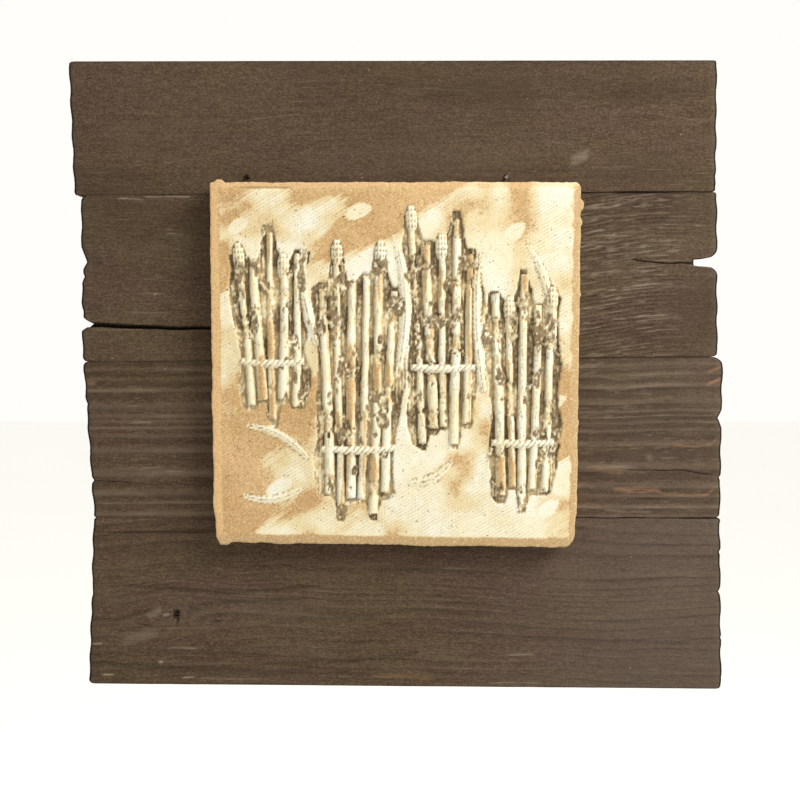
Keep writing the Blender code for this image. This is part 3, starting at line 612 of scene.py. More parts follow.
def seam_shift(dark):
    """How far a long edge moves out, so that the seam is narrower than in the solids."""
    return (CONTACT_GAP - SEAM_GAP * (0.3 + 0.7 * dark)) / 2


def make_plank(plank, foot_z):
    wood = WOODS[plank.name]
    pitches = SPLIT_PITCHES if plank.name == SPLIT_PLANK else PITCHES
    rows, columns = (
        graded(length, np.multiply(steps, MM), pitch * MM) / length
        for length, steps, pitch in zip((plank.height, PANEL_WIDTH), EDGE_STEPS, pitches)
    )
    share, place = np.meshgrid(rows, columns, indexing="ij")
    left = -PANEL_WIDTH / 2 + end_inset(plank, plank.left, share, -1)
    right = PANEL_WIDTH / 2 - end_inset(plank, plank.right, share, 1)
    x = left + (right - left) * place
    z = plank_z(plank, foot_z, x, share)
    top_left, top_right, foot_left, foot_right = EDGE_PAINTED_SHADE_AND_WEAR[plank.name]
    top_shade_and_wear = top_left + (top_right - top_left) * place
    foot_shade_and_wear = foot_left + (foot_right - foot_left) * place
    if plank is not PLANKS[0]:
        z = z + seam_shift(top_shade_and_wear) * share
    if plank is not PLANKS[-1]:
        z = z - seam_shift(foot_shade_and_wear) * (1 - share)
    x_mm, z_mm = x / MM, z / MM
    part, number, level = ring_places(wood, x_mm, z_mm)

    def rough(length, height, seed, places=z_mm, draw=fractal):
        """Noise over the plank, its bumps of a length and height in millimetres."""
        return draw(x_mm / length, places / height, wood.seed + seed)

    near, far = wood.ridged
    ridged = ramp(near - 30.0, near, x_mm) * ramp(far + 30.0, far, x_mm)
    ridged = wood.elsewhere + (1 - wood.elsewhere) * ridged
    ridged = ridged * (0.75 + 0.45 * rough(24.0, 7.0, 20))
    # Dark lines at the foot of each ridge, partly dark grain and partly painted shade under it; pale lines
    # on the crests, partly pale grain and partly painted highlight.
    valley_and_painted_shade = np.exp(-((part / 0.09) ** 2)) + np.exp(-(((part - 1.0) / 0.13) ** 2))
    valley_and_painted_shade = valley_and_painted_shade * ramp(-0.55, 0.25, value_noise(x_mm / wood.run + 0.7, 4.1 * number, wood.seed + 16))
    crest = np.exp(-(((part - 0.20) / 0.13) ** 2))
    crest = crest * ramp(-0.20, 0.45, value_noise(x_mm / wood.run, 5.3 * number, wood.seed + 15))
    banded = np.cos(2 * math.pi * (part - 0.2)) * ridged * wood.bands
    streak = rough(26.0, 0.9, 30, level)
    fuzz = rough(5.0, 0.7, 40, level)
    dash = rough(4.5, 0.80, 90, level, value_noise)
    flock = rough(20.0, 8.0, 91, level, value_noise)
    pale_dash = ramp(0.30, 0.75, dash) * ramp(-0.35, 0.35, flock)
    dark_dash = ramp(-0.30, -0.75, dash) * ramp(0.35, -0.25, flock)
    shades = {kind: np.zeros_like(x) for kind in ("light", "tan", "dark", "crack")}
    for order, mark in enumerate(wood.marks):
        draw = streak_shade if isinstance(mark, Streak) else mark_shade
        shade = draw(mark, x_mm, z_mm, wood.seed + 60 + order)
        shades[mark.kind] = np.maximum(shades[mark.kind], shade)
    # Painted shade along the split: its lips are painted dark for about half a millimetre beside the
    # opening.
    if plank.name == SPLIT_PLANK:
        middle, half = split_place(plank, foot_z, x)
        painted_lip_shade = ramp(half + 0.55 * MM, half + 0.10 * MM, np.abs(z - middle))
        shades["dark"] = np.maximum(shades["dark"], 0.9 * painted_lip_shade * ramp(-55 * MM, -70 * MM, x))
    ridge = ramp(0.0, 0.15, part) * (1 - part) ** 0.8
    relief = wood.depth * ridged * (ridge - 0.8) + 0.03 * streak + 0.04 * fuzz - 0.06
    relief = relief + 0.25 * rough(60.0, 25.0, 50) - 0.25
    relief = relief - 1.2 * shades["crack"] - 1.2 * shades["dark"] ** 3
    edge = np.minimum(share, 1 - share) * plank.height
    side = np.minimum(x - left, right - x)
    wear = 1.0 + 0.5 * rough(14.0, 14.0, 70)
    near_shade_and_wear = np.where(share > 0.5, top_shade_and_wear, foot_shade_and_wear)
    drop = arris_drop(edge, SEAM_WEAR * (0.2 + 0.8 * near_shade_and_wear) * wear * MM)
    drop = drop + arris_drop(side, 1.5 * wear * MM)
    # Painted shade along the seams: the long edges are painted near black within a millimetre of the seam.
    painted_seam_shade = ramp(0.9 * MM, 0.1 * MM, edge) * near_shade_and_wear
    painted_seam_shade = unit(painted_seam_shade * (1.0 + 1.8 * rough(13.0, 40.0, 75)))
    y = PANEL_FRONT_Y - np.minimum(relief, 0.0) * MM + drop
    long_side, short_side = np.zeros(x.shape[1] - 1), np.ones(x.shape[0] - 1)
    sawn_end = np.concatenate([long_side, short_side, long_side, short_side])
    # Painted shade on the sides, darkest beside the front and fading towards the back.
    painted_side_shade = np.linspace(0.75, 0.10, SIDE_STEPS)[:, None] ** 1.5
    worn = ramp(0.9 * MM, 1.4 * MM, side) * ramp(4.8 * MM, 1.6 * MM, side) * ramp(-150.0, 150.0, x_mm)
    board = wood.seed * END_GRAIN_STEP
    paint = {
        "valley_and_painted_shade": (wood.dark * unit(valley_and_painted_shade + 0.55 * dark_dash) * ridged, 0.1, 0.0),
        "crest": (wood.crest * (crest * (0.7 + 0.6 * fuzz) + DASH_SHARE * pale_dash) * ridged, 0.0, 0.0),
        "tone": (wood.tone + banded + 0.5 * rough(70.0, 22.0, 80), wood.tone, wood.tone),
        "grey": (wood.grey * ramp(20.0, 150.0, x_mm), 0.0, 0.3),
        "light": (shades["light"], 0.0, 0.0),
        "tan": (shades["tan"], 0.0, 0.0),
        # Dark marks and cracks, with the painted shade along the split's lips.
        "dark": (unit(shades["dark"] + shades["crack"]), 0.0, 0.0),
        # Painted shade on the outline: the seams, the ends and the sides are painted near black.
        "edge": (np.maximum(painted_seam_shade, ramp(1.50 * MM, 0.85 * MM, side)), painted_side_shade, 0.0),
        "worn": (worn, 0.0, 0.0),
        "end": (np.zeros_like(x), sawn_end, 0.0),
        "board": (np.full_like(x, board), board, board),
    }
    return closed_slab(plank.name + "_wood", x, y, z, 0.0, SIDE_STEPS, paint, side_rough=SIDE_ROUGHNESS)


def repaint(cut, board):
    """Gives each point of a cut mesh the attributes of the nearest point of the whole one."""
    tree = KDTree(len(board.vertices))
    for vertex in board.vertices:
        tree.insert(vertex.co, vertex.index)
    tree.balance()
    nearest = np.array([tree.find(vertex.co)[1] for vertex in cut.vertices])
    for attribute in board.attributes:
        if attribute.data_type == "FLOAT" and attribute.domain == "POINT":
            values = np.empty(len(board.vertices), np.float32)
            attribute.data.foreach_get("value", values)
            cut.attributes[attribute.name].data.foreach_set("value", values[nearest])


def cut_split(board, plank, foot_z):
    """The open split: a wedge of air from the plank's left end to behind the tile."""
    places = np.linspace(-PANEL_WIDTH / 2 - PLANK_THICKNESS, -PANEL_WIDTH / 2 + SPLIT_LENGTH, 41)
    middle, half = split_place(plank, foot_z, places)
    outline = list(zip(places.tolist(), (middle - half).tolist()))
    outline += reversed(list(zip(places.tolist(), (middle + half).tolist())))
    front = [(x, PANEL_FRONT_Y - PLANK_THICKNESS, z + SPLIT_SLANT) for x, z in outline]
    back = [(x, PLANK_THICKNESS, z - 2 * SPLIT_SLANT) for x, z in outline]
    count = len(outline)
    faces = [tuple(range(count)), tuple(range(2 * count - 1, count - 1, -1))]
    for number in range(count):
        after = (number + 1) % count
        faces.append((number, count + number, count + after, after))
    mesh = bpy.data.meshes.new("split")
    mesh.from_pydata(front + back, [], faces)
    wedge = add("split", mesh)
    boolean = board.modifiers.new("split", "BOOLEAN")
    boolean.operation = "DIFFERENCE"
    boolean.solver = "EXACT"
    boolean.object = wedge
    bpy.context.view_layer.update()
    depsgraph = bpy.context.evaluated_depsgraph_get()
    cut = bpy.data.meshes.new_from_object(board.evaluated_get(depsgraph))
    board.modifiers.remove(boolean)
    repaint(cut, board.data)
    board.data = cut
    bpy.data.objects.remove(wedge, do_unlink=True)


# Tile


def tile_place(share_x, share_z):
    return share_x * TILE_WIDTH, TILE_MIDDLE_Z + share_z * TILE_HEIGHT


def sheaf_reeds(sheaf):
    reeds = []
    for number in range(sheaf.reeds):
        side = number - (sheaf.reeds - 1) / 2
        spread = side / ((sheaf.reeds - 1) / 2)
        foot_x, foot_z = tile_place(sheaf.middle, sheaf.foot)
        stagger = REED_STAGGER * TILE_HEIGHT * math.sin(2.3 * number + 9 * sheaf.middle)
        foot = (foot_x + side * REED_PITCH, foot_z - 0.6 * stagger)
        tip = (
            foot[0] + (sheaf.lean + spread * sheaf.fan) * TILE_WIDTH,
            foot_z + sheaf.length * TILE_HEIGHT + stagger,
        )
        thickness = 1.0 + REED_WIDTH_SPREAD * math.sin(2.7 * number + 40.0 * sheaf.middle)
        reeds.append(Reed(number, foot, tip, thickness))
    return reeds


def bed_outline(sheaf):
    """The outline of the shallow bed that a sheaf is pressed into, as in the solids."""
    reeds = sheaf_reeds(sheaf)
    outline = []
    for side in (1, -1):
        outer = reeds[-1] if side > 0 else reeds[0]
        stretch = []
        for step in range(BED_POINTS_PER_SIDE + 1):
            share = step / BED_POINTS_PER_SIDE
            out = REED_WIDTH / 2 + BED_MARGIN
            out += BED_RAGGEDNESS * math.sin(5.1 * step + 3 * side + 20 * sheaf.middle)
            for lobe in sheaf.lobes:
                if lobe.side == side:
                    out += lobe.reach * math.exp(-(((share - lobe.share) / LOBE_SPREAD) ** 2))
            x = outer.foot[0] + (outer.tip[0] - outer.foot[0]) * share + side * out
            stretch.append((x, outer.foot[1] + (outer.tip[1] - outer.foot[1]) * share))
        outline.extend(stretch if side > 0 else stretch[::-1])
        ends = [reed.tip for reed in reversed(reeds)] if side > 0 else [reed.foot for reed in reeds]
        for step, (x, z) in enumerate(ends):
            rag = BED_RAGGEDNESS * math.sin(4.3 * step + 20 * sheaf.middle)
            for half in (side, -side):
                outline.append((x + half * REED_PITCH / 3, z + side * (BED_MARGIN + rag)))
    return outline


def outline_depth(outline, x, z):
    """How far points lie inside a closed outline; negative outside."""
    inside = np.zeros(x.shape, bool)
    nearest = np.full(x.shape, 1.0)
    for (near_x, near_z), (far_x, far_z) in zip(outline, outline[1:] + outline[:1]):
        run_x, run_z = far_x - near_x, far_z - near_z
        span = run_x ** 2 + run_z ** 2
        share = unit(((x - near_x) * run_x + (z - near_z) * run_z) / span)
        nearest = np.minimum(nearest, np.hypot(x - near_x - share * run_x, z - near_z - share * run_z))
        if run_z:
            meet_x = near_x + (z - near_z) * run_x / run_z
            inside ^= ((near_z > z) != (far_z > z)) & (x < meet_x)
    return np.where(inside, nearest, -nearest)


def along_line(x, z, foot, tip):
    """Share of the way from foot to tip, the distance to the right of the line and its length."""
    run_x, run_z = tip[0] - foot[0], tip[1] - foot[1]
    length = math.hypot(run_x, run_z)
    share = ((x - foot[0]) * run_x + (z - foot[1]) * run_z) / length ** 2
    side = ((x - foot[0]) * run_z - (z - foot[1]) * run_x) / length
    return share, side, length


def softened(values, column_turns, row_turns):
    """Values averaged with their neighbours, again and again."""
    for axis, turns in ((1, column_turns), (0, row_turns)):
        for _ in range(turns):
            padded = np.concatenate([values.take([0], axis), values, values.take([-1], axis)], axis)
            size = values.shape[axis]
            before = padded.take(range(size), axis)
            after = padded.take(range(2, size + 2), axis)
            values = 0.5 * values + 0.25 * (before + after)
    return values


NOTHING = -1.0


def reed_height(reed, x, z, grit):
    """Height of one reed over the face, NOTHING beside it, with broken and crumbled stretches."""
    share, right, length = along_line(x, z, reed.foot, reed.tip)
    held = unit(share)
    own = 31.0 * reed.number + 700.0 * reed.foot[0]
    side = right - REED_SWAY * REED_WIDTH * np.sin(4.0 * held + 1.7 * reed.number)
    radius = REED_WIDTH / 2 * reed.thickness * (1.0 - REED_THINNING * held)
    lengthways = held * length / MM
    radius = radius * (1 + 0.07 * value_noise(lengthways / 9.0 + own, reed.number, 251))
    side = side + 0.25 * MM * value_noise(lengthways / 14.0 + own, 3.0, 252)
    reach = unit(1 - (side / radius) ** 2)
    rod = REED_RISE - REED_WIDTH / 2 + radius * np.sqrt(reach)
    rod = rod + 0.06 * MM * np.sin(side / (0.26 * MM) + value_noise(lengthways / 20.0, 0.0, 253))
    fray = 0.7 * MM * grit
    ends = ramp(0.0, 0.9 * MM, share * length + fray) * ramp(0.0, 0.9 * MM, (1 - share) * length + fray)
    lost = ramp(0.42, 0.62, value_noise(lengthways / 10.0 + own, 9.0 * reed.number, 254) + 0.25 * grit)
    rod = rod - (1 - ends) * 3.0 * MM - lost * (1.3 * MM + 0.6 * MM * grit)
    joint = np.abs(np.mod(lengthways + own, 26.0) - 13.0)
    rod = rod + 0.16 * MM * np.exp(-((joint / 0.6) ** 2))
    return np.where(reach > 0, rod, NOTHING), reach * ends * (1 - lost)


def band_height(sheaf, x, z):
    reeds = sheaf_reeds(sheaf)
    ends = []
    for reed, side in ((reeds[0], -1), (reeds[-1], 1)):
        reach = REED_WIDTH / 2 + BAND_OVERHANG
        end_x = reed.foot[0] + (reed.tip[0] - reed.foot[0]) * sheaf.band + side * reach
        ends.append((end_x, tile_place(0, sheaf.foot + sheaf.length * sheaf.band)[1]))
    share, right, length = along_line(x, z, ends[0], ends[1])
    middle = 1 - np.abs(2 * unit(share) - 1)
    off = right - BAND_SAG * BAND_WIDTH * middle
    thick = BAND_WIDTH / 2 * (BAND_END_THICKNESS + (1 - BAND_END_THICKNESS) * middle)
    reach = unit(1 - (off / thick) ** 2) * ramp(-0.02, 0.03, share) * ramp(1.02, 0.97, share)
    twist = np.sin(2 * math.pi * (share * length + 0.9 * off) / (2.9 * MM))
    band = BAND_RISE - BAND_WIDTH / 2 + thick * np.sqrt(reach) + 0.30 * MM * (twist - 1) * np.sqrt(reach)
    return np.where(reach > 0.02, band, NOTHING), np.where(reach > 0.02, ramp(-0.1, -0.9, twist), 0.0)


# Distance of the crossing furrows between the kernels of a seed head, and of a leaf's side veins
KERNEL_PITCH = 3.5 * MM
KERNEL_LEAN = 0.6
VEIN_PITCH = 3.0 * MM


def seed_head_height(reed, x, z):
    share, right, length = along_line(x, z, reed.foot, reed.tip)
    up = (share - 1) * length
    reach = unit(1 - (2 * up / SEED_HEAD_LENGTH) ** 2 - (2 * right / SEED_HEAD_WIDTH) ** 2)
    rising, falling = (
        np.sin(2 * math.pi * (right + lean * up) / KERNEL_PITCH) for lean in (KERNEL_LEAN, -KERNEL_LEAN)
    )
    grain = rising * falling
    head = SEED_HEAD_WIDTH * (SEED_HEAD_FLATNESS / 2 * np.sqrt(reach) - SEED_HEAD_SINK)
    head = head + 0.34 * MM * (grain - 0.6)
    return np.where(reach > 0, head, NOTHING), np.where(reach > 0, ramp(0.0, -0.6, grain), 0.0)


def leaf_height(leaf, x, z):
    root, tip = tile_place(leaf.root_x, leaf.root_z), tile_place(leaf.tip_x, leaf.tip_z)
    share, right, length = along_line(x, z, root, tip)
    held = unit(share)
    off = right - leaf.bow * TILE_WIDTH * np.sin(math.pi * held)
    fullness = np.sin(math.pi * (0.12 + 0.86 * held)) ** 0.8
    swell = LEAF_TIP_FULLNESS + (1 - LEAF_TIP_FULLNESS) * fullness
    reach = unit(1 - np.abs(off) / (LEAF_WIDTH / 2 * swell))
    reach = reach * ramp(-0.01, 0.02, share) * ramp(1.01, 0.98, share)
    rise = LEAF_RISE * swell * ((1 - LEAF_EDGE_LIFT) * reach + LEAF_EDGE_LIFT)
    vein = np.sin(2 * math.pi * (held * length - 1.6 * np.abs(off)) / VEIN_PITCH)
    midrib = np.exp(-((off / (0.55 * MM)) ** 2))
    rise = rise + 0.14 * MM * vein - 0.45 * MM * midrib
    return np.where(reach > 0, rise, NOTHING), np.where(reach > 0.1, midrib, 0.0)


def highest(height, pieces):
    """The greatest height, and the greatest mask, of several pieces at each point."""
    return (np.maximum.reduce(layer) for layer in zip(*(height(piece) for piece in pieces)))


def relief_of_tile(x, z):
    """Height of the pressed face in metres, with masks of what lies where."""
    grit = cloudy(x, z, 1.5, 1.5, 241, 2)
    rag = cloudy(x, z, 8, 8, 201) + 0.8 * cloudy(x, z, 2.4, 2.4, 211)
    depth = np.maximum.reduce([outline_depth(bed_outline(sheaf), x, z) for sheaf in SHEAVES]) + rag * MM
    bed = ramp(-0.3 * MM, 0.5 * MM, depth)
    height = 0.30 * MM * cloudy(x, z, 48, 48, 221) - bed * (BED_DEPTH + 0.5 * MM * grit)
    flute = np.sin(x / (0.30 * MM) + 2.5 * value_noise(x / (7 * MM), z / (22 * MM), 261))
    strand = ramp(-0.1, 0.3, value_noise(x / (3.0 * MM), z / (30 * MM), 262))
    height = height + bed * strand * (0.45 * MM + 0.22 * MM * flute)
    leaves, midribs = highest(lambda leaf: leaf_height(leaf, x, z), LEAVES)
    blade = ramp(-0.05 * MM, 0.15 * MM, leaves - height)
    height = np.maximum(height, leaves)
    rod = np.zeros_like(x)
    for sheaf in SHEAVES:
        for reed in sheaf_reeds(sheaf):
            reed_rise, whole = reed_height(reed, x, z, grit)
            over = ramp(-0.15 * MM, 0.15 * MM, reed_rise - height)
            rod = rod + (whole - rod) * over
            height = np.maximum(height, reed_rise)
    crust = ramp(-1.6 * MM, 0.4 * MM, depth) * ramp(0.26, 0.38, cloudy(x, z, 7, 10, 231))
    height = height * (1 - crust) + crust * (0.25 * MM + 0.8 * MM * grit)
    bands, twists = highest(lambda sheaf: band_height(sheaf, x, z), SHEAVES)
    cord = ramp(-0.1 * MM, 0.1 * MM, bands - height)
    height = np.maximum(height, bands)
    headed = [reed for sheaf in SHEAVES for reed in sheaf_reeds(sheaf) if reed.number in sheaf.heads]
    heads, kernels = highest(lambda reed: seed_head_height(reed, x, z), headed)
    head = ramp(-0.1 * MM, 0.1 * MM, heads - height)
    height = np.maximum(height, heads)
    return height, {
        "bed": bed, "rod": rod, "crust": crust, "cord": cord, "head": head, "blade": blade,
        "furrow": cord * (1 - head) * twists + head * kernels, "midrib": blade * midribs,
    }


Dab = namedtuple("Dab", "x z length width turn")

# Dabs of slip, in millimetres from the tile's middle and degrees
DABS = (
    Dab(-84, 74, 13, 7, 35),
    Dab(-79, 12, 12, 9, 60),
    Dab(-62, -66, 16, 8, 30),
    Dab(-20, 82, 15, 8, 20),
    Dab(62, 70, 17, 8, 40),
    Dab(86, -20, 12, 7, 25),
    Dab(82, -78, 15, 8, 45),
    Dab(38, -84, 14, 7, 15),
)
# Rise of the broad brush strokes to the right, in degrees
STROKE_ANGLE = 35


def slip_brushed(x, z):
    """Where the cream slip was brushed on, 0 to 1: broad soft strokes and a few dabs."""

    def turned(x, z, degrees):
        turn = math.radians(degrees)
        return x * math.cos(turn) + z * math.sin(turn), -x * math.sin(turn) + z * math.cos(turn)

    along, across = turned(x, z, STROKE_ANGLE)
    broad = fractal(along / (62 * MM) + 3.1, across / (30 * MM) + 0.4, 301, 2)
    streaky = cloudy(along, across, 20, 1.8, 311, 2)
    rib = np.sin(2 * math.pi * turned(x, z, TWILL_ANGLE)[1] / TWILL_PITCH)
    slip = unit(0.35 + 5.0 * (broad + 0.232) + 0.34 * streaky + 0.12 * rib)
    slip = slip * (0.72 + 0.9 * cloudy(x, z, 17, 17, 305, 2) + 0.06 * streaky)
    for dab in DABS:
        off_along, off_across = turned(x - dab.x * MM, z - TILE_MIDDLE_Z - dab.z * MM, dab.turn)
        out = np.hypot(off_along / (dab.length * MM / 2), off_across / (dab.width * MM / 2))
        slip = np.maximum(slip, 0.9 * ramp(1.20, 0.80, out + 0.20 * streaky + 0.06 * rib))
    return unit(slip)


# Burrs on the tile's edge: the side, then place, width and height in millimetres
TOP_BURRS = ((-93.8, 6.5, 1.5), (31.0, 14.0, 0.5), (74.0, 9.0, 0.4))
RIGHT_BURRS = ((85.5, 7.4, 1.6), (76.5, 5.0, 1.0), (38.0, 3.0, 0.5), (-30.0, 4.0, 0.4), (-92.0, 34.0, -0.9))
FOOT_BURRS = ((-93.0, 10.0, 1.4), (-60.0, 16.0, 0.4), (20.0, 30.0, 0.5))
LEFT_BURRS = ((60.0, 12.0, 0.3), (-20.0, 20.0, 0.4), (-75.0, 8.0, 0.3), (-92.0, 30.0, -0.8))


# Width of the rim on each side, as a share of the solid's: top, foot, left, right
RIM_SHARES = (0.62, 1.00, 0.98, 0.72)
# Painted light and shade along each side of the rim, as how bright its clay is painted: top, foot, left,
# right
RIM_PAINTED_SHADING = (0.50, 0.0, 0.94, 0.0)


def edge_bulge(along, burrs, seed):
    """How far a side of the tile bulges out, at places along it."""
    bulge = 0.30 * fractal(along / (6.5 * MM), 0.0, seed)
    bulge = bulge + 0.12 * value_noise(along / (1.6 * MM), 0.0, seed + 9)
    for place, width, height in burrs:
        bulge = bulge + height * ramp(1.0, 0.35, np.abs(along / MM - place) / (width / 2))
    return bulge * MM


# The tile's grid from -1 to 1, up and across: steps at its edges and the count between
TILE_GRIDS = (((0.003, 0.004, 0.006, 0.008), 214), ((0.002, 0.003, 0.005, 0.006), 384))


def make_tile():
    rows, columns = (graded(2.0, steps, 2.0 / count) - 1.0 for steps, count in TILE_GRIDS)
    up, across = np.meshgrid(rows, columns, indexing="ij")
    half_height = TILE_HEIGHT / 2
    half_width = TILE_WIDTH / 2 - TILE_TAPER / 4 * (1 - up)
    x = across * half_width
    z = up * half_height
    for (side, level), radius in TILE_CORNER_ROUNDS.items():
        over_x = (side * x - (half_width - radius)) / radius
        over_z = (level * z - (half_height - radius)) / radius
        corner = (over_x > 0) & (over_z > 0)
        square = np.maximum(over_x, over_z)
        reach = np.where(corner, square / np.maximum(np.hypot(over_x, over_z), 1e-9), 1.0)
        x = np.where(corner, side * (half_width - radius + radius * over_x * reach), x)
        z = np.where(corner, level * (half_height - radius + radius * over_z * reach), z)
    edge = np.minimum(half_width - np.abs(across) * half_width, half_height - np.abs(up) * half_height)
    rim_top, rim_foot, rim_left, rim_right = RIM_SHARES
    from_top, from_foot = half_height * (1 - up), half_height * (1 + up)
    from_left, from_right = half_width * (1 + across), half_width * (1 - across)
    seam = np.minimum.reduce([
        from_left / rim_left, from_right / rim_right, from_foot / rim_foot, from_top / rim_top,
    ])
    # Painted light and shade on the rim: how bright each side is painted, blended near the corners.
    nearness = [np.exp(-distance / (1.5 * MM)) for distance in (from_top, from_foot, from_left, from_right)]
    rim_painted_shading = sum(near * tone for near, tone in zip(nearness, RIM_PAINTED_SHADING))
    rim_painted_shading = rim_painted_shading / np.maximum(sum(nearness), 1e-12)
    seam = seam + 0.35 * MM * cloudy(x, z, 9, 9, 441)
    blend = 1.4 * MM * cloudy(x, z, 5, 5, 451) * ramp(0.7, 0.95, across)
    wider = RIM_WIDTH + 0.8 * MM + 1.2 * MM * ramp(0.7, 0.95, across)
    rim = ramp(wider, RIM_WIDTH - 0.8 * MM, seam + blend)
    straight_x, straight_z = x, z
    x = x + ramp(0.94, 1.0, across) * edge_bulge(straight_z, RIGHT_BURRS, 401)
    x = x - ramp(-0.94, -1.0, across) * edge_bulge(straight_z, LEFT_BURRS, 411)
    z = z + ramp(0.94, 1.0, up) * edge_bulge(straight_x, TOP_BURRS, 421)
    z = z - ramp(-0.94, -1.0, up) * edge_bulge(straight_x, FOOT_BURRS, 431)
    lift = z + TILE_MIDDLE_Z + TILE_FOOT_RISE / 2 * across * (1 - up) / 2
    height, parts = relief_of_tile(x, lift)
    inner = ramp(RIM_WIDTH - 0.8 * MM, RIM_WIDTH + 0.8 * MM, seam)
    height = height * inner
    slope = unit((RIM_WIDTH - edge) / (RIM_WIDTH - RIM_ARRIS))
    height = height - RIM_DROP * RIM_SLOPE_SHARE * slope ** 1.5
    reach = unit(1 - edge / RIM_ARRIS)
    height = height - RIM_DROP * (1 - RIM_SLOPE_SHARE) * (1 - np.sqrt(1 - reach * reach))
    # A shallow crease inside the upper rim, cut into the face; it also carries painted shade in the colour.
    creased = ramp(0.3, 0.9, up) * ramp(-0.90, -0.82, across) * ramp(0.60, 0.30, across)
    creased = creased * ramp(-0.25, 0.15, value_noise(x / (13 * MM), 0.0, 331))
    crease_and_painted_shade = creased * np.exp(-(((seam - RIM_WIDTH + 0.2 * MM) / (0.45 * MM)) ** 2))
    rough = cloudy(x, lift, 2.6, 2.6, 321)
    height = height - 0.45 * MM * crease_and_painted_shade + (1 - inner) * 0.10 * MM * rough
    cavity = (softened(height, 12, 4) - height) / MM
    y = TILE_FACE_Y - height
    core = (straight_x, lift + straight_z - z)
    return x, y, lift, core, inner, rim, rim_painted_shading, crease_and_painted_shade, cavity, parts


def paint_tile(x, z, inner, rim, rim_painted_shading, crease_and_painted_shade, cavity, height, parts):
    bed, rod, crust, cord, head, blade, furrow, midrib = parts.values()
    grain = cloudy(x, z, 1.1, 1.5, 351, 2)
    patch = ramp(-0.22, 0.28, cloudy(x, z, 10, 16, 341))
    deep = bed * ramp(0.1 * MM, -1.0 * MM, height)
    fleck = cloudy(x, z, 0.8, 2.6, 361, 1)
    near_bed = unit(softened(bed, 10, 4) * 1.2)
    outline = 2.4 * softened(blade, 4, 2) * (1 - blade)
    bare = rod * ramp(0.22, 0.42, value_noise(x / (4 * MM), z / (26 * MM), 371))
    oxide = deep * (0.30 + 0.55 * patch) - 0.55 * (1 - 0.5 * patch) * ramp(-0.10, 0.35, grain)
    oxide = np.maximum.reduce([
        oxide - 0.45 * bed * ramp(0.05, 0.35, fleck) * (1 - 0.6 * patch),
        crust * (0.66 - 0.60 * ramp(0.05, 0.40, grain)),
        ramp(0.10, 0.50, cavity) * (0.40 + 0.45 * patch),
        0.30 * near_bed * ramp(-0.1, 0.5, grain) * patch,
        rod * (0.16 * patch + 0.20 * ramp(0.10, 0.45, fleck)),
        head * (0.10 + 0.75 * ramp(-0.02, 0.22, cavity + 0.10 * grain)),
        blade * 0.60 * ramp(0.02, 0.22, cavity + 0.08 * grain),
    ])
    oxide = np.maximum.reduce([
        oxide * (1 - cord) + cord * 0.65 * ramp(-0.16, 0.10, cavity),
        0.55 * furrow * (0.8 + 0.6 * grain),
        0.50 * midrib * (0.8 + 0.8 * grain),
        0.55 * unit(outline) * (1 - bed) * ramp(-0.3, 0.3, grain),
    ])
    slip = slip_brushed(x, z)
    rim_slip = slip * ramp(-10 * MM, 60 * MM, x + 0.4 * (z - TILE_MIDDLE_Z)) * (0.15 + 0.85 * rim_painted_shading)
    slip = slip * (1 - rim) + rim_slip * rim
    coated = 0.35 + 0.60 * rod + 0.35 * fleck
    slip = slip * (1 - bed) + bed * np.maximum(0.30 + 0.45 * ramp(0.0, 0.4, grain), coated)
    slip = np.maximum.reduce([
        slip * (1 - 0.85 * bare),
        0.85 * cord,
        blade * (0.42 + 0.40 * ramp(0.1, -0.15, cavity) + 0.15 * grain),
    ])
    slip = slip * (1 - head) + head * (0.35 + 0.45 * ramp(0.05, -0.15, cavity) + 0.15 * grain)
    cloth = inner * (1 - bed) * (1 - blade) * (1 - crust) * (1 - head) * (1 - rod)
    return {
        "oxide": (unit(oxide * inner), 0.0, 0.0),
        "slip": (unit(slip), 0.15, 0.0),
        "cloth": (cloth, 0.0, 0.0),
        # Painted shade in the crease inside the upper rim.
        "crease_and_painted_shade": (crease_and_painted_shade, 0.0, 0.0),
        "rim": (rim, 1.0, 0.0),
        # Painted light and shade along the rim's sides.
        "rim_painted_shading": (rim_painted_shading, 0.5, 0.5),
    }


# Rings of points between the tile's face and its back, and how rough its sides are
TILE_SIDE_STEPS = 8
TILE_SIDE_ROUGHNESS = 0.3 * MM


def dress_tile():
    x, y, z, core, inner, rim, rim_painted_shading, crease_and_painted_shade, cavity, parts = make_tile()
    paint = paint_tile(x, z, inner, rim, rim_painted_shading, crease_and_painted_shade, cavity, TILE_FACE_Y - y, parts)
    return closed_slab(
        "relief_tile", x, y, z, TILE_BACK_Y, TILE_SIDE_STEPS, paint,
        side_rough=TILE_SIDE_ROUGHNESS, core=core,
    )


# Materials


def srgb(red, green, blue):
    """Linear values of a colour given as 0 to 255."""
    channels = []
    for value in (red, green, blue):
        value /= 255
        channels.append(value / 12.92 if value <= 0.04045 else ((value + 0.055) / 1.055) ** 2.4)
    return channels


def seen(red, green, blue):
    """The surface colour that looks like this one in the photo's light."""
    return (*(min(1.0, value / LIGHT_LEVEL) for value in srgb(red, green, blue)), 1.0)


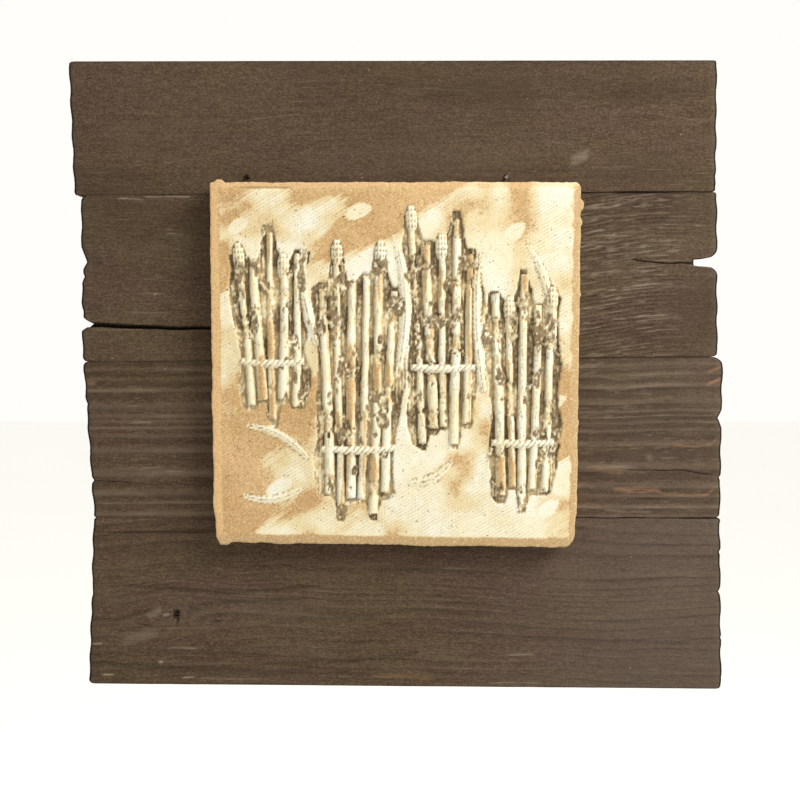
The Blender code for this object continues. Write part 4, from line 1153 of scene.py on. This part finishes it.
class Shader:
    """A material's nodes, with a short call for each kind that is used."""

    def __init__(self, name, roughness, specular):
        self.material = bpy.data.materials.new(name)
        self.material.use_nodes = True
        self.tree = self.material.node_tree
        self.surface = self.tree.nodes["Principled BSDF"].inputs
        self.surface["Roughness"].default_value = roughness
        self.surface["Specular IOR Level"].default_value = specular
        self.place = self.node("ShaderNodeTexCoord", "Object")

    def feed(self, value, socket):
        if isinstance(value, bpy.types.NodeSocket):
            self.tree.links.new(value, socket)
        else:
            socket.default_value = value

    def node(self, kind, output, inputs=None, **settings):
        """What a new node gives, with its settings and inputs by name."""
        node = self.tree.nodes.new(kind)
        for name, value in settings.items():
            setattr(node, name, value)
        for name, value in (inputs or {}).items():
            self.feed(value, node.inputs[name])
        return node.outputs[output]

    def attribute(self, name):
        return self.node("ShaderNodeAttribute", "Fac", attribute_name=name)

    def math(self, operation, first, second=0.0):
        return self.node("ShaderNodeMath", 0, {0: first, 1: second}, operation=operation)

    def times(self, first, second):
        return self.math("MULTIPLY", first, second)

    def plus(self, first, second):
        return self.math("ADD", first, second)

    def ramp(self, value, low, high, most=1.0, least=0.0):
        limits = {"Value": value, "From Min": low, "From Max": high, "To Min": least, "To Max": most}
        return self.node("ShaderNodeMapRange", "Result", limits, interpolation_type="SMOOTHSTEP")

    def mix(self, factor, first, second):
        return self.node("ShaderNodeMix", 2, {"Factor": factor, 6: first, 7: second}, data_type="RGBA")

    def coats(self, base, *layers):
        """A base colour under layers, each with how much it covers and its colour as seen."""
        for cover, colour in layers:
            base = self.mix(cover, base, seen(*colour))
        return base

    def stretch(self, scale, slide=(0.0, 0.0, 0.0)):
        inputs = {"Vector": self.place, "Scale": scale, "Location": slide}
        return self.node("ShaderNodeMapping", "Vector", inputs)

    def noise(self, vector, scale, detail=3.0, roughness=0.55):
        inputs = {"Vector": vector, "Scale": scale, "Detail": detail, "Roughness": roughness}
        return self.node("ShaderNodeTexNoise", "Fac", inputs)

    def finish(self, colour, heights=None, distance=0.0, strength=1.0):
        """Joins the colour and the bumps to the surface and returns the material."""
        self.feed(colour, self.surface["Base Color"])
        if heights is not None:
            inputs = {"Strength": strength, "Distance": distance, "Height": heights}
            self.feed(self.node("ShaderNodeBump", "Normal", inputs), self.surface["Normal"])
        return self.material


def wood_material():
    wood = Shader("stained_wood_grain", 0.76, 0.08)
    tone = wood.attribute("tone")
    board = wood.attribute("board")
    fibre = wood.noise(wood.stretch((190.0, 200.0, 1300.0)), 1.0, 2.0, 0.6)
    thread = wood.noise(wood.stretch((42.0, 60.0, 380.0), (0.4, 0.0, 0.9)), 1.0, 3.0, 0.55)
    pore = wood.noise(wood.stretch((0.75, 1.0, 1.25)), 1250.0, 1.0, 0.5)
    hue = wood.noise(wood.stretch((9.0, 9.0, 30.0), (2.1, 0.0, 0.3)), 1.0, 2.0)
    other_hue = wood.noise(wood.stretch((12.0, 12.0, 26.0), (7.7, 0.0, 4.3)), 1.0, 2.0)
    scratch = wood.noise(wood.stretch((45.0, 90.0, 1100.0), (0.0, 0.0, 5.1)), 1.0, 1.0)
    group = wood.noise(wood.stretch((26.0, 26.0, 60.0), (3.0, 0.0, 1.0)), 1.0, 1.0)
    dust = wood.noise(wood.place, 520.0, 0.0)
    heart = wood.node("ShaderNodeCombineXYZ", 0, {"Y": board, "Z": board})
    grown = {"Vector": wood.stretch((0.15, 1.0, 1.0), heart), "Scale": 70.0, "Distortion": 3.0}
    rings = wood.node("ShaderNodeTexWave", "Fac", grown, wave_type="RINGS", rings_direction="X")
    base = wood.mix(wood.ramp(thread, 0.25, 0.75), seen(80, 63, 48), seen(94, 76, 59))
    base = wood.coats(
        base,
        (wood.ramp(hue, 0.40, 0.70, 0.55), (94, 82, 58)),
        (wood.ramp(other_hue, 0.45, 0.72, 0.55), (92, 72, 62)),
        (wood.ramp(fibre, 0.47, 0.26, 0.60), (60, 45, 32)),
        (wood.ramp(fibre, 0.53, 0.74, 0.60), (120, 101, 80)),
        (wood.ramp(pore, 0.50, 0.30, 0.48), (60, 44, 32)),
        (wood.ramp(pore, 0.50, 0.70, 0.48), (120, 101, 80)),
        (wood.ramp(tone, 0.0, 0.5, 0.45), (108, 92, 76)),
        (wood.ramp(tone, 0.0, -0.5, 0.50), (66, 50, 36)),
        (wood.times(wood.attribute("grey"), 0.40), (112, 100, 94)),
        (wood.times(wood.attribute("worn"), 0.20), (116, 105, 82)),
        # Painted shade under the ridges and painted highlight on their crests, each partly the grain's own
        # colour.
        (wood.attribute("valley_and_painted_shade"), (44, 31, 22)),
        (wood.attribute("crest"), (146, 130, 112)),
        (wood.times(wood.ramp(scratch, 0.66, 0.74, 0.35), wood.ramp(group, 0.50, 0.66)), (140, 124, 106)),
        (wood.ramp(dust, 0.85, 0.89, 0.6), (176, 156, 128)),
        (wood.attribute("tan"), (156, 116, 86)),
        (wood.attribute("light"), (158, 143, 124)),
    )
    end_grain = wood.mix(wood.ramp(rings, 0.2, 0.8), seen(58, 45, 34), seen(98, 80, 62))
    base = wood.coats(
        wood.mix(wood.attribute("end"), base, end_grain),
        # Painted shade: near black along the plank outlines, the seams and the sides.
        (wood.times(wood.attribute("edge"), 0.94), (18, 13, 9)),
        # Dark marks and cracks, with the painted shade along the split's lips.
        (wood.attribute("dark"), (26, 19, 14)),
    )
    wood.feed(wood.ramp(thread, 0.3, 0.7, 0.62, 0.84), wood.surface["Roughness"])
    return wood.finish(base, wood.plus(wood.times(thread, 0.5), wood.times(fibre, 0.5)), 0.22 * MM, 0.8)


def clay_material():
    clay = Shader("fired_clay_slip", 0.82, 0.25)
    cloth, rim, rim_painted_shading = (clay.attribute(name) for name in ("cloth", "rim", "rim_painted_shading"))
    grit = clay.noise(clay.place, 800.0, 2.0, 0.6)
    sand = clay.noise(clay.stretch((1.0, 1.0, 1.0), (0.9, 0.4, 0.2)), 1500.0, 1.0)
    cloud = clay.noise(clay.place, 34.0, 3.0)
    speck = clay.noise(clay.stretch((1.0, 1.0, 1.0), (0.3, 0.1, 0.7)), 620.0, 1.0)
    mottle = clay.noise(clay.place, 420.0, 2.0, 0.6)
    spread = clay.math("SUBTRACT", grit, 0.5)

    turn = math.radians(TWILL_ANGLE)
    x, z = (clay.node("ShaderNodeSeparateXYZ", axis, {0: clay.place}) for axis in "XZ")
    across = clay.plus(clay.times(x, -math.sin(turn)), clay.times(z, math.cos(turn)))
    along = clay.plus(clay.times(x, math.cos(turn)), clay.times(z, math.sin(turn)))
    wobble = clay.times(clay.noise(clay.place, 120.0, 2.0), 3.0)
    phase = clay.plus(clay.times(across, 2 * math.pi / TWILL_PITCH), wobble)
    rib = clay.plus(clay.times(clay.math("SINE", phase), 0.5), 0.5)
    yarn_phase = clay.math("SUBTRACT", clay.times(along, 2 * math.pi / YARN_PITCH), clay.times(phase, 0.5))
    yarn = clay.plus(clay.times(clay.math("SINE", yarn_phase), 0.5), 0.5)
    worn = clay.times(
        clay.ramp(clay.noise(clay.place, 22.0, 2.0), 0.30, 0.62, 1.0, 0.35),
        clay.ramp(clay.noise(clay.place, 230.0, 1.0), 0.36, 0.60, 1.0, 0.40),
    )
    weave = clay.times(clay.times(clay.plus(rib, clay.times(yarn, 0.22)), cloth), worn)

    tan = clay.coats(
        clay.mix(clay.ramp(cloud, 0.3, 0.7), seen(203, 162, 108), seen(226, 188, 134)),
        (clay.ramp(grit, 0.56, 0.70, 0.40), (246, 216, 164)),
        (clay.ramp(grit, 0.48, 0.32, 0.55), (172, 130, 82)),
        (clay.ramp(sand, 0.60, 0.70, 0.80), (254, 226, 174)),
    )
    rim_clay = clay.coats(
        # Painted light and shade: a dark and a light copy of the rim's clay, mixed by side.
        clay.mix(rim_painted_shading, seen(202, 169, 121), seen(250, 206, 146)),
        (clay.ramp(grit, 0.5, 0.3, 0.55), (190, 150, 100)),
        (clay.ramp(sand, 0.46, 0.34, 0.35), (170, 128, 84)),
        (clay.times(clay.ramp(grit, 0.54, 0.70, 0.5), clay.ramp(rim_painted_shading, 0.6, 0.2)), (250, 226, 180)),
        (clay.ramp(sand, 0.60, 0.70, 0.65), (254, 230, 182)),
    )
    thick = clay.mix(clay.ramp(cloud, 0.35, 0.7), seen(252, 242, 206), seen(255, 254, 236))
    slip_edge = clay.plus(clay.attribute("slip"), clay.times(spread, 0.40))
    colour = clay.coats(clay.mix(rim, tan, rim_clay), (clay.ramp(slip_edge, 0.18, 0.48), (242, 222, 174)))
    colour = clay.mix(clay.ramp(slip_edge, 0.40, 0.90), colour, thick)
    hollow = clay.times(clay.math("SUBTRACT", clay.times(cloth, worn), weave), 0.32)
    speckled = clay.times(clay.ramp(speck, 0.71, 0.745, 0.75), clay.math("SUBTRACT", 1.0, rim))
    oxide_edge = clay.plus(clay.attribute("oxide"), clay.times(spread, 0.45))
    colour = clay.coats(
        colour,
        (clay.ramp(sand, 0.47, 0.33, 0.24), (206, 178, 128)),
        (clay.math("MAXIMUM", hollow, 0.0), (176, 144, 96)),
        (speckled, (132, 100, 62)),
        (clay.ramp(oxide_edge, 0.12, 0.42, 0.70), (176, 152, 110)),
    )
    brown = clay.coats(
        clay.mix(clay.ramp(mottle, 0.35, 0.65), seen(92, 75, 52), seen(140, 118, 86)),
        (clay.ramp(grit, 0.58, 0.74, 0.45), (182, 156, 112)),
    )
    colour = clay.mix(clay.ramp(oxide_edge, 0.34, 0.78, 0.93), colour, brown)
    # Painted shade in the crease inside the upper rim.
    colour = clay.coats(colour, (clay.times(clay.attribute("crease_and_painted_shade"), 0.55), (132, 96, 58)))
    return clay.finish(colour, clay.plus(clay.times(weave, 0.8), clay.times(grit, 0.8)), 0.20 * MM, 0.9)


def metal_material(name, base, worn, roughness):
    metal = Shader(name, roughness, 0.5)
    metal.surface["Metallic"].default_value = 1.0
    spots = metal.noise(metal.place, 1500.0, 3.0)
    metal.feed(metal.ramp(spots, 0.3, 0.7, roughness + 0.2, roughness), metal.surface["Roughness"])
    return metal.finish(metal.mix(metal.ramp(spots, 0.4, 0.7), base, worn))


# Stage, light and camera


def make_floor():
    turns = ((-1, -1), (1, -1), (1, 1), (-1, 1))
    corners = [(x * FLOOR_REACH, y * FLOOR_REACH, FLOOR_LEVEL) for x, y in turns]
    mesh = bpy.data.meshes.new("floor")
    mesh.from_pydata(corners, [], [(0, 1, 2, 3)])
    floor = add("floor", mesh)
    pale = Shader("pale_floor", 0.9, 0.1)
    cloud = pale.noise(pale.place, 2.0)
    mesh.materials.append(pale.finish(pale.mix(cloud, (0.96, 0.95, 0.92, 1.0), (0.98, 0.97, 0.94, 1.0))))


def make_light_and_camera():
    scene = bpy.context.scene
    scene.view_settings.view_transform = "Standard"
    scene.world = bpy.data.worlds.new("studio")
    scene.world.use_nodes = True
    background = scene.world.node_tree.nodes["Background"].inputs
    background["Color"].default_value = (1.0, 0.992, 0.955, 1.0)
    background["Strength"].default_value = 1.0
    lamp = bpy.data.lights.new("soft_box", "AREA")
    lamp.shape = "RECTANGLE"
    lamp.size, lamp.size_y = LAMP_SIZE
    lamp.energy = LAMP_POWER
    lamp.color = (1.0, 0.98, 0.94)
    box = add("soft_box", lamp)
    box.location = LAMP_PLACE
    box.rotation_euler = (-box.location.normalized()).to_track_quat("-Z", "Y").to_euler()
    lens = bpy.data.cameras.new("camera")
    lens.lens = CAMERA_LENS
    lens.sensor_width = CAMERA_SENSOR
    camera = add("camera", lens)
    camera.location = CAMERA_PLACE
    camera.rotation_euler = (math.pi / 2 - CAMERA_PITCH, 0.0, 0.0)
    scene.camera = camera


def main():
    wood = wood_material()
    foot_z = PANEL_TOP_Z
    for plank in PLANKS:
        foot_z -= plank.height
        board = make_plank(plank, foot_z)
        if plank.name == SPLIT_PLANK:
            cut_split(board, plank, foot_z)
        board.data.materials.clear()
        board.data.materials.append(wood)
        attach(board, "root")
        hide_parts(plank.name)
    tile = dress_tile()
    tile.data.materials.append(clay_material())
    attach(tile, "root")
    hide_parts("ceramic_tile")
    wire = metal_material("dark_wire_worn", seen(60, 50, 42), seen(110, 92, 76), 0.45)
    steel = metal_material("nail_steel_worn", seen(120, 114, 104), seen(205, 198, 186), 0.40)
    rust = metal_material("nail_steel_rusty", seen(40, 28, 22), seen(64, 46, 36), 0.65)
    for side, nail in (("left", rust), ("right", steel)):
        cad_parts["hanging_loop_" + side].data.materials[0] = wire
        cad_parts["nail_" + side].data.materials[0] = nail
    make_floor()
    make_light_and_camera()


main()
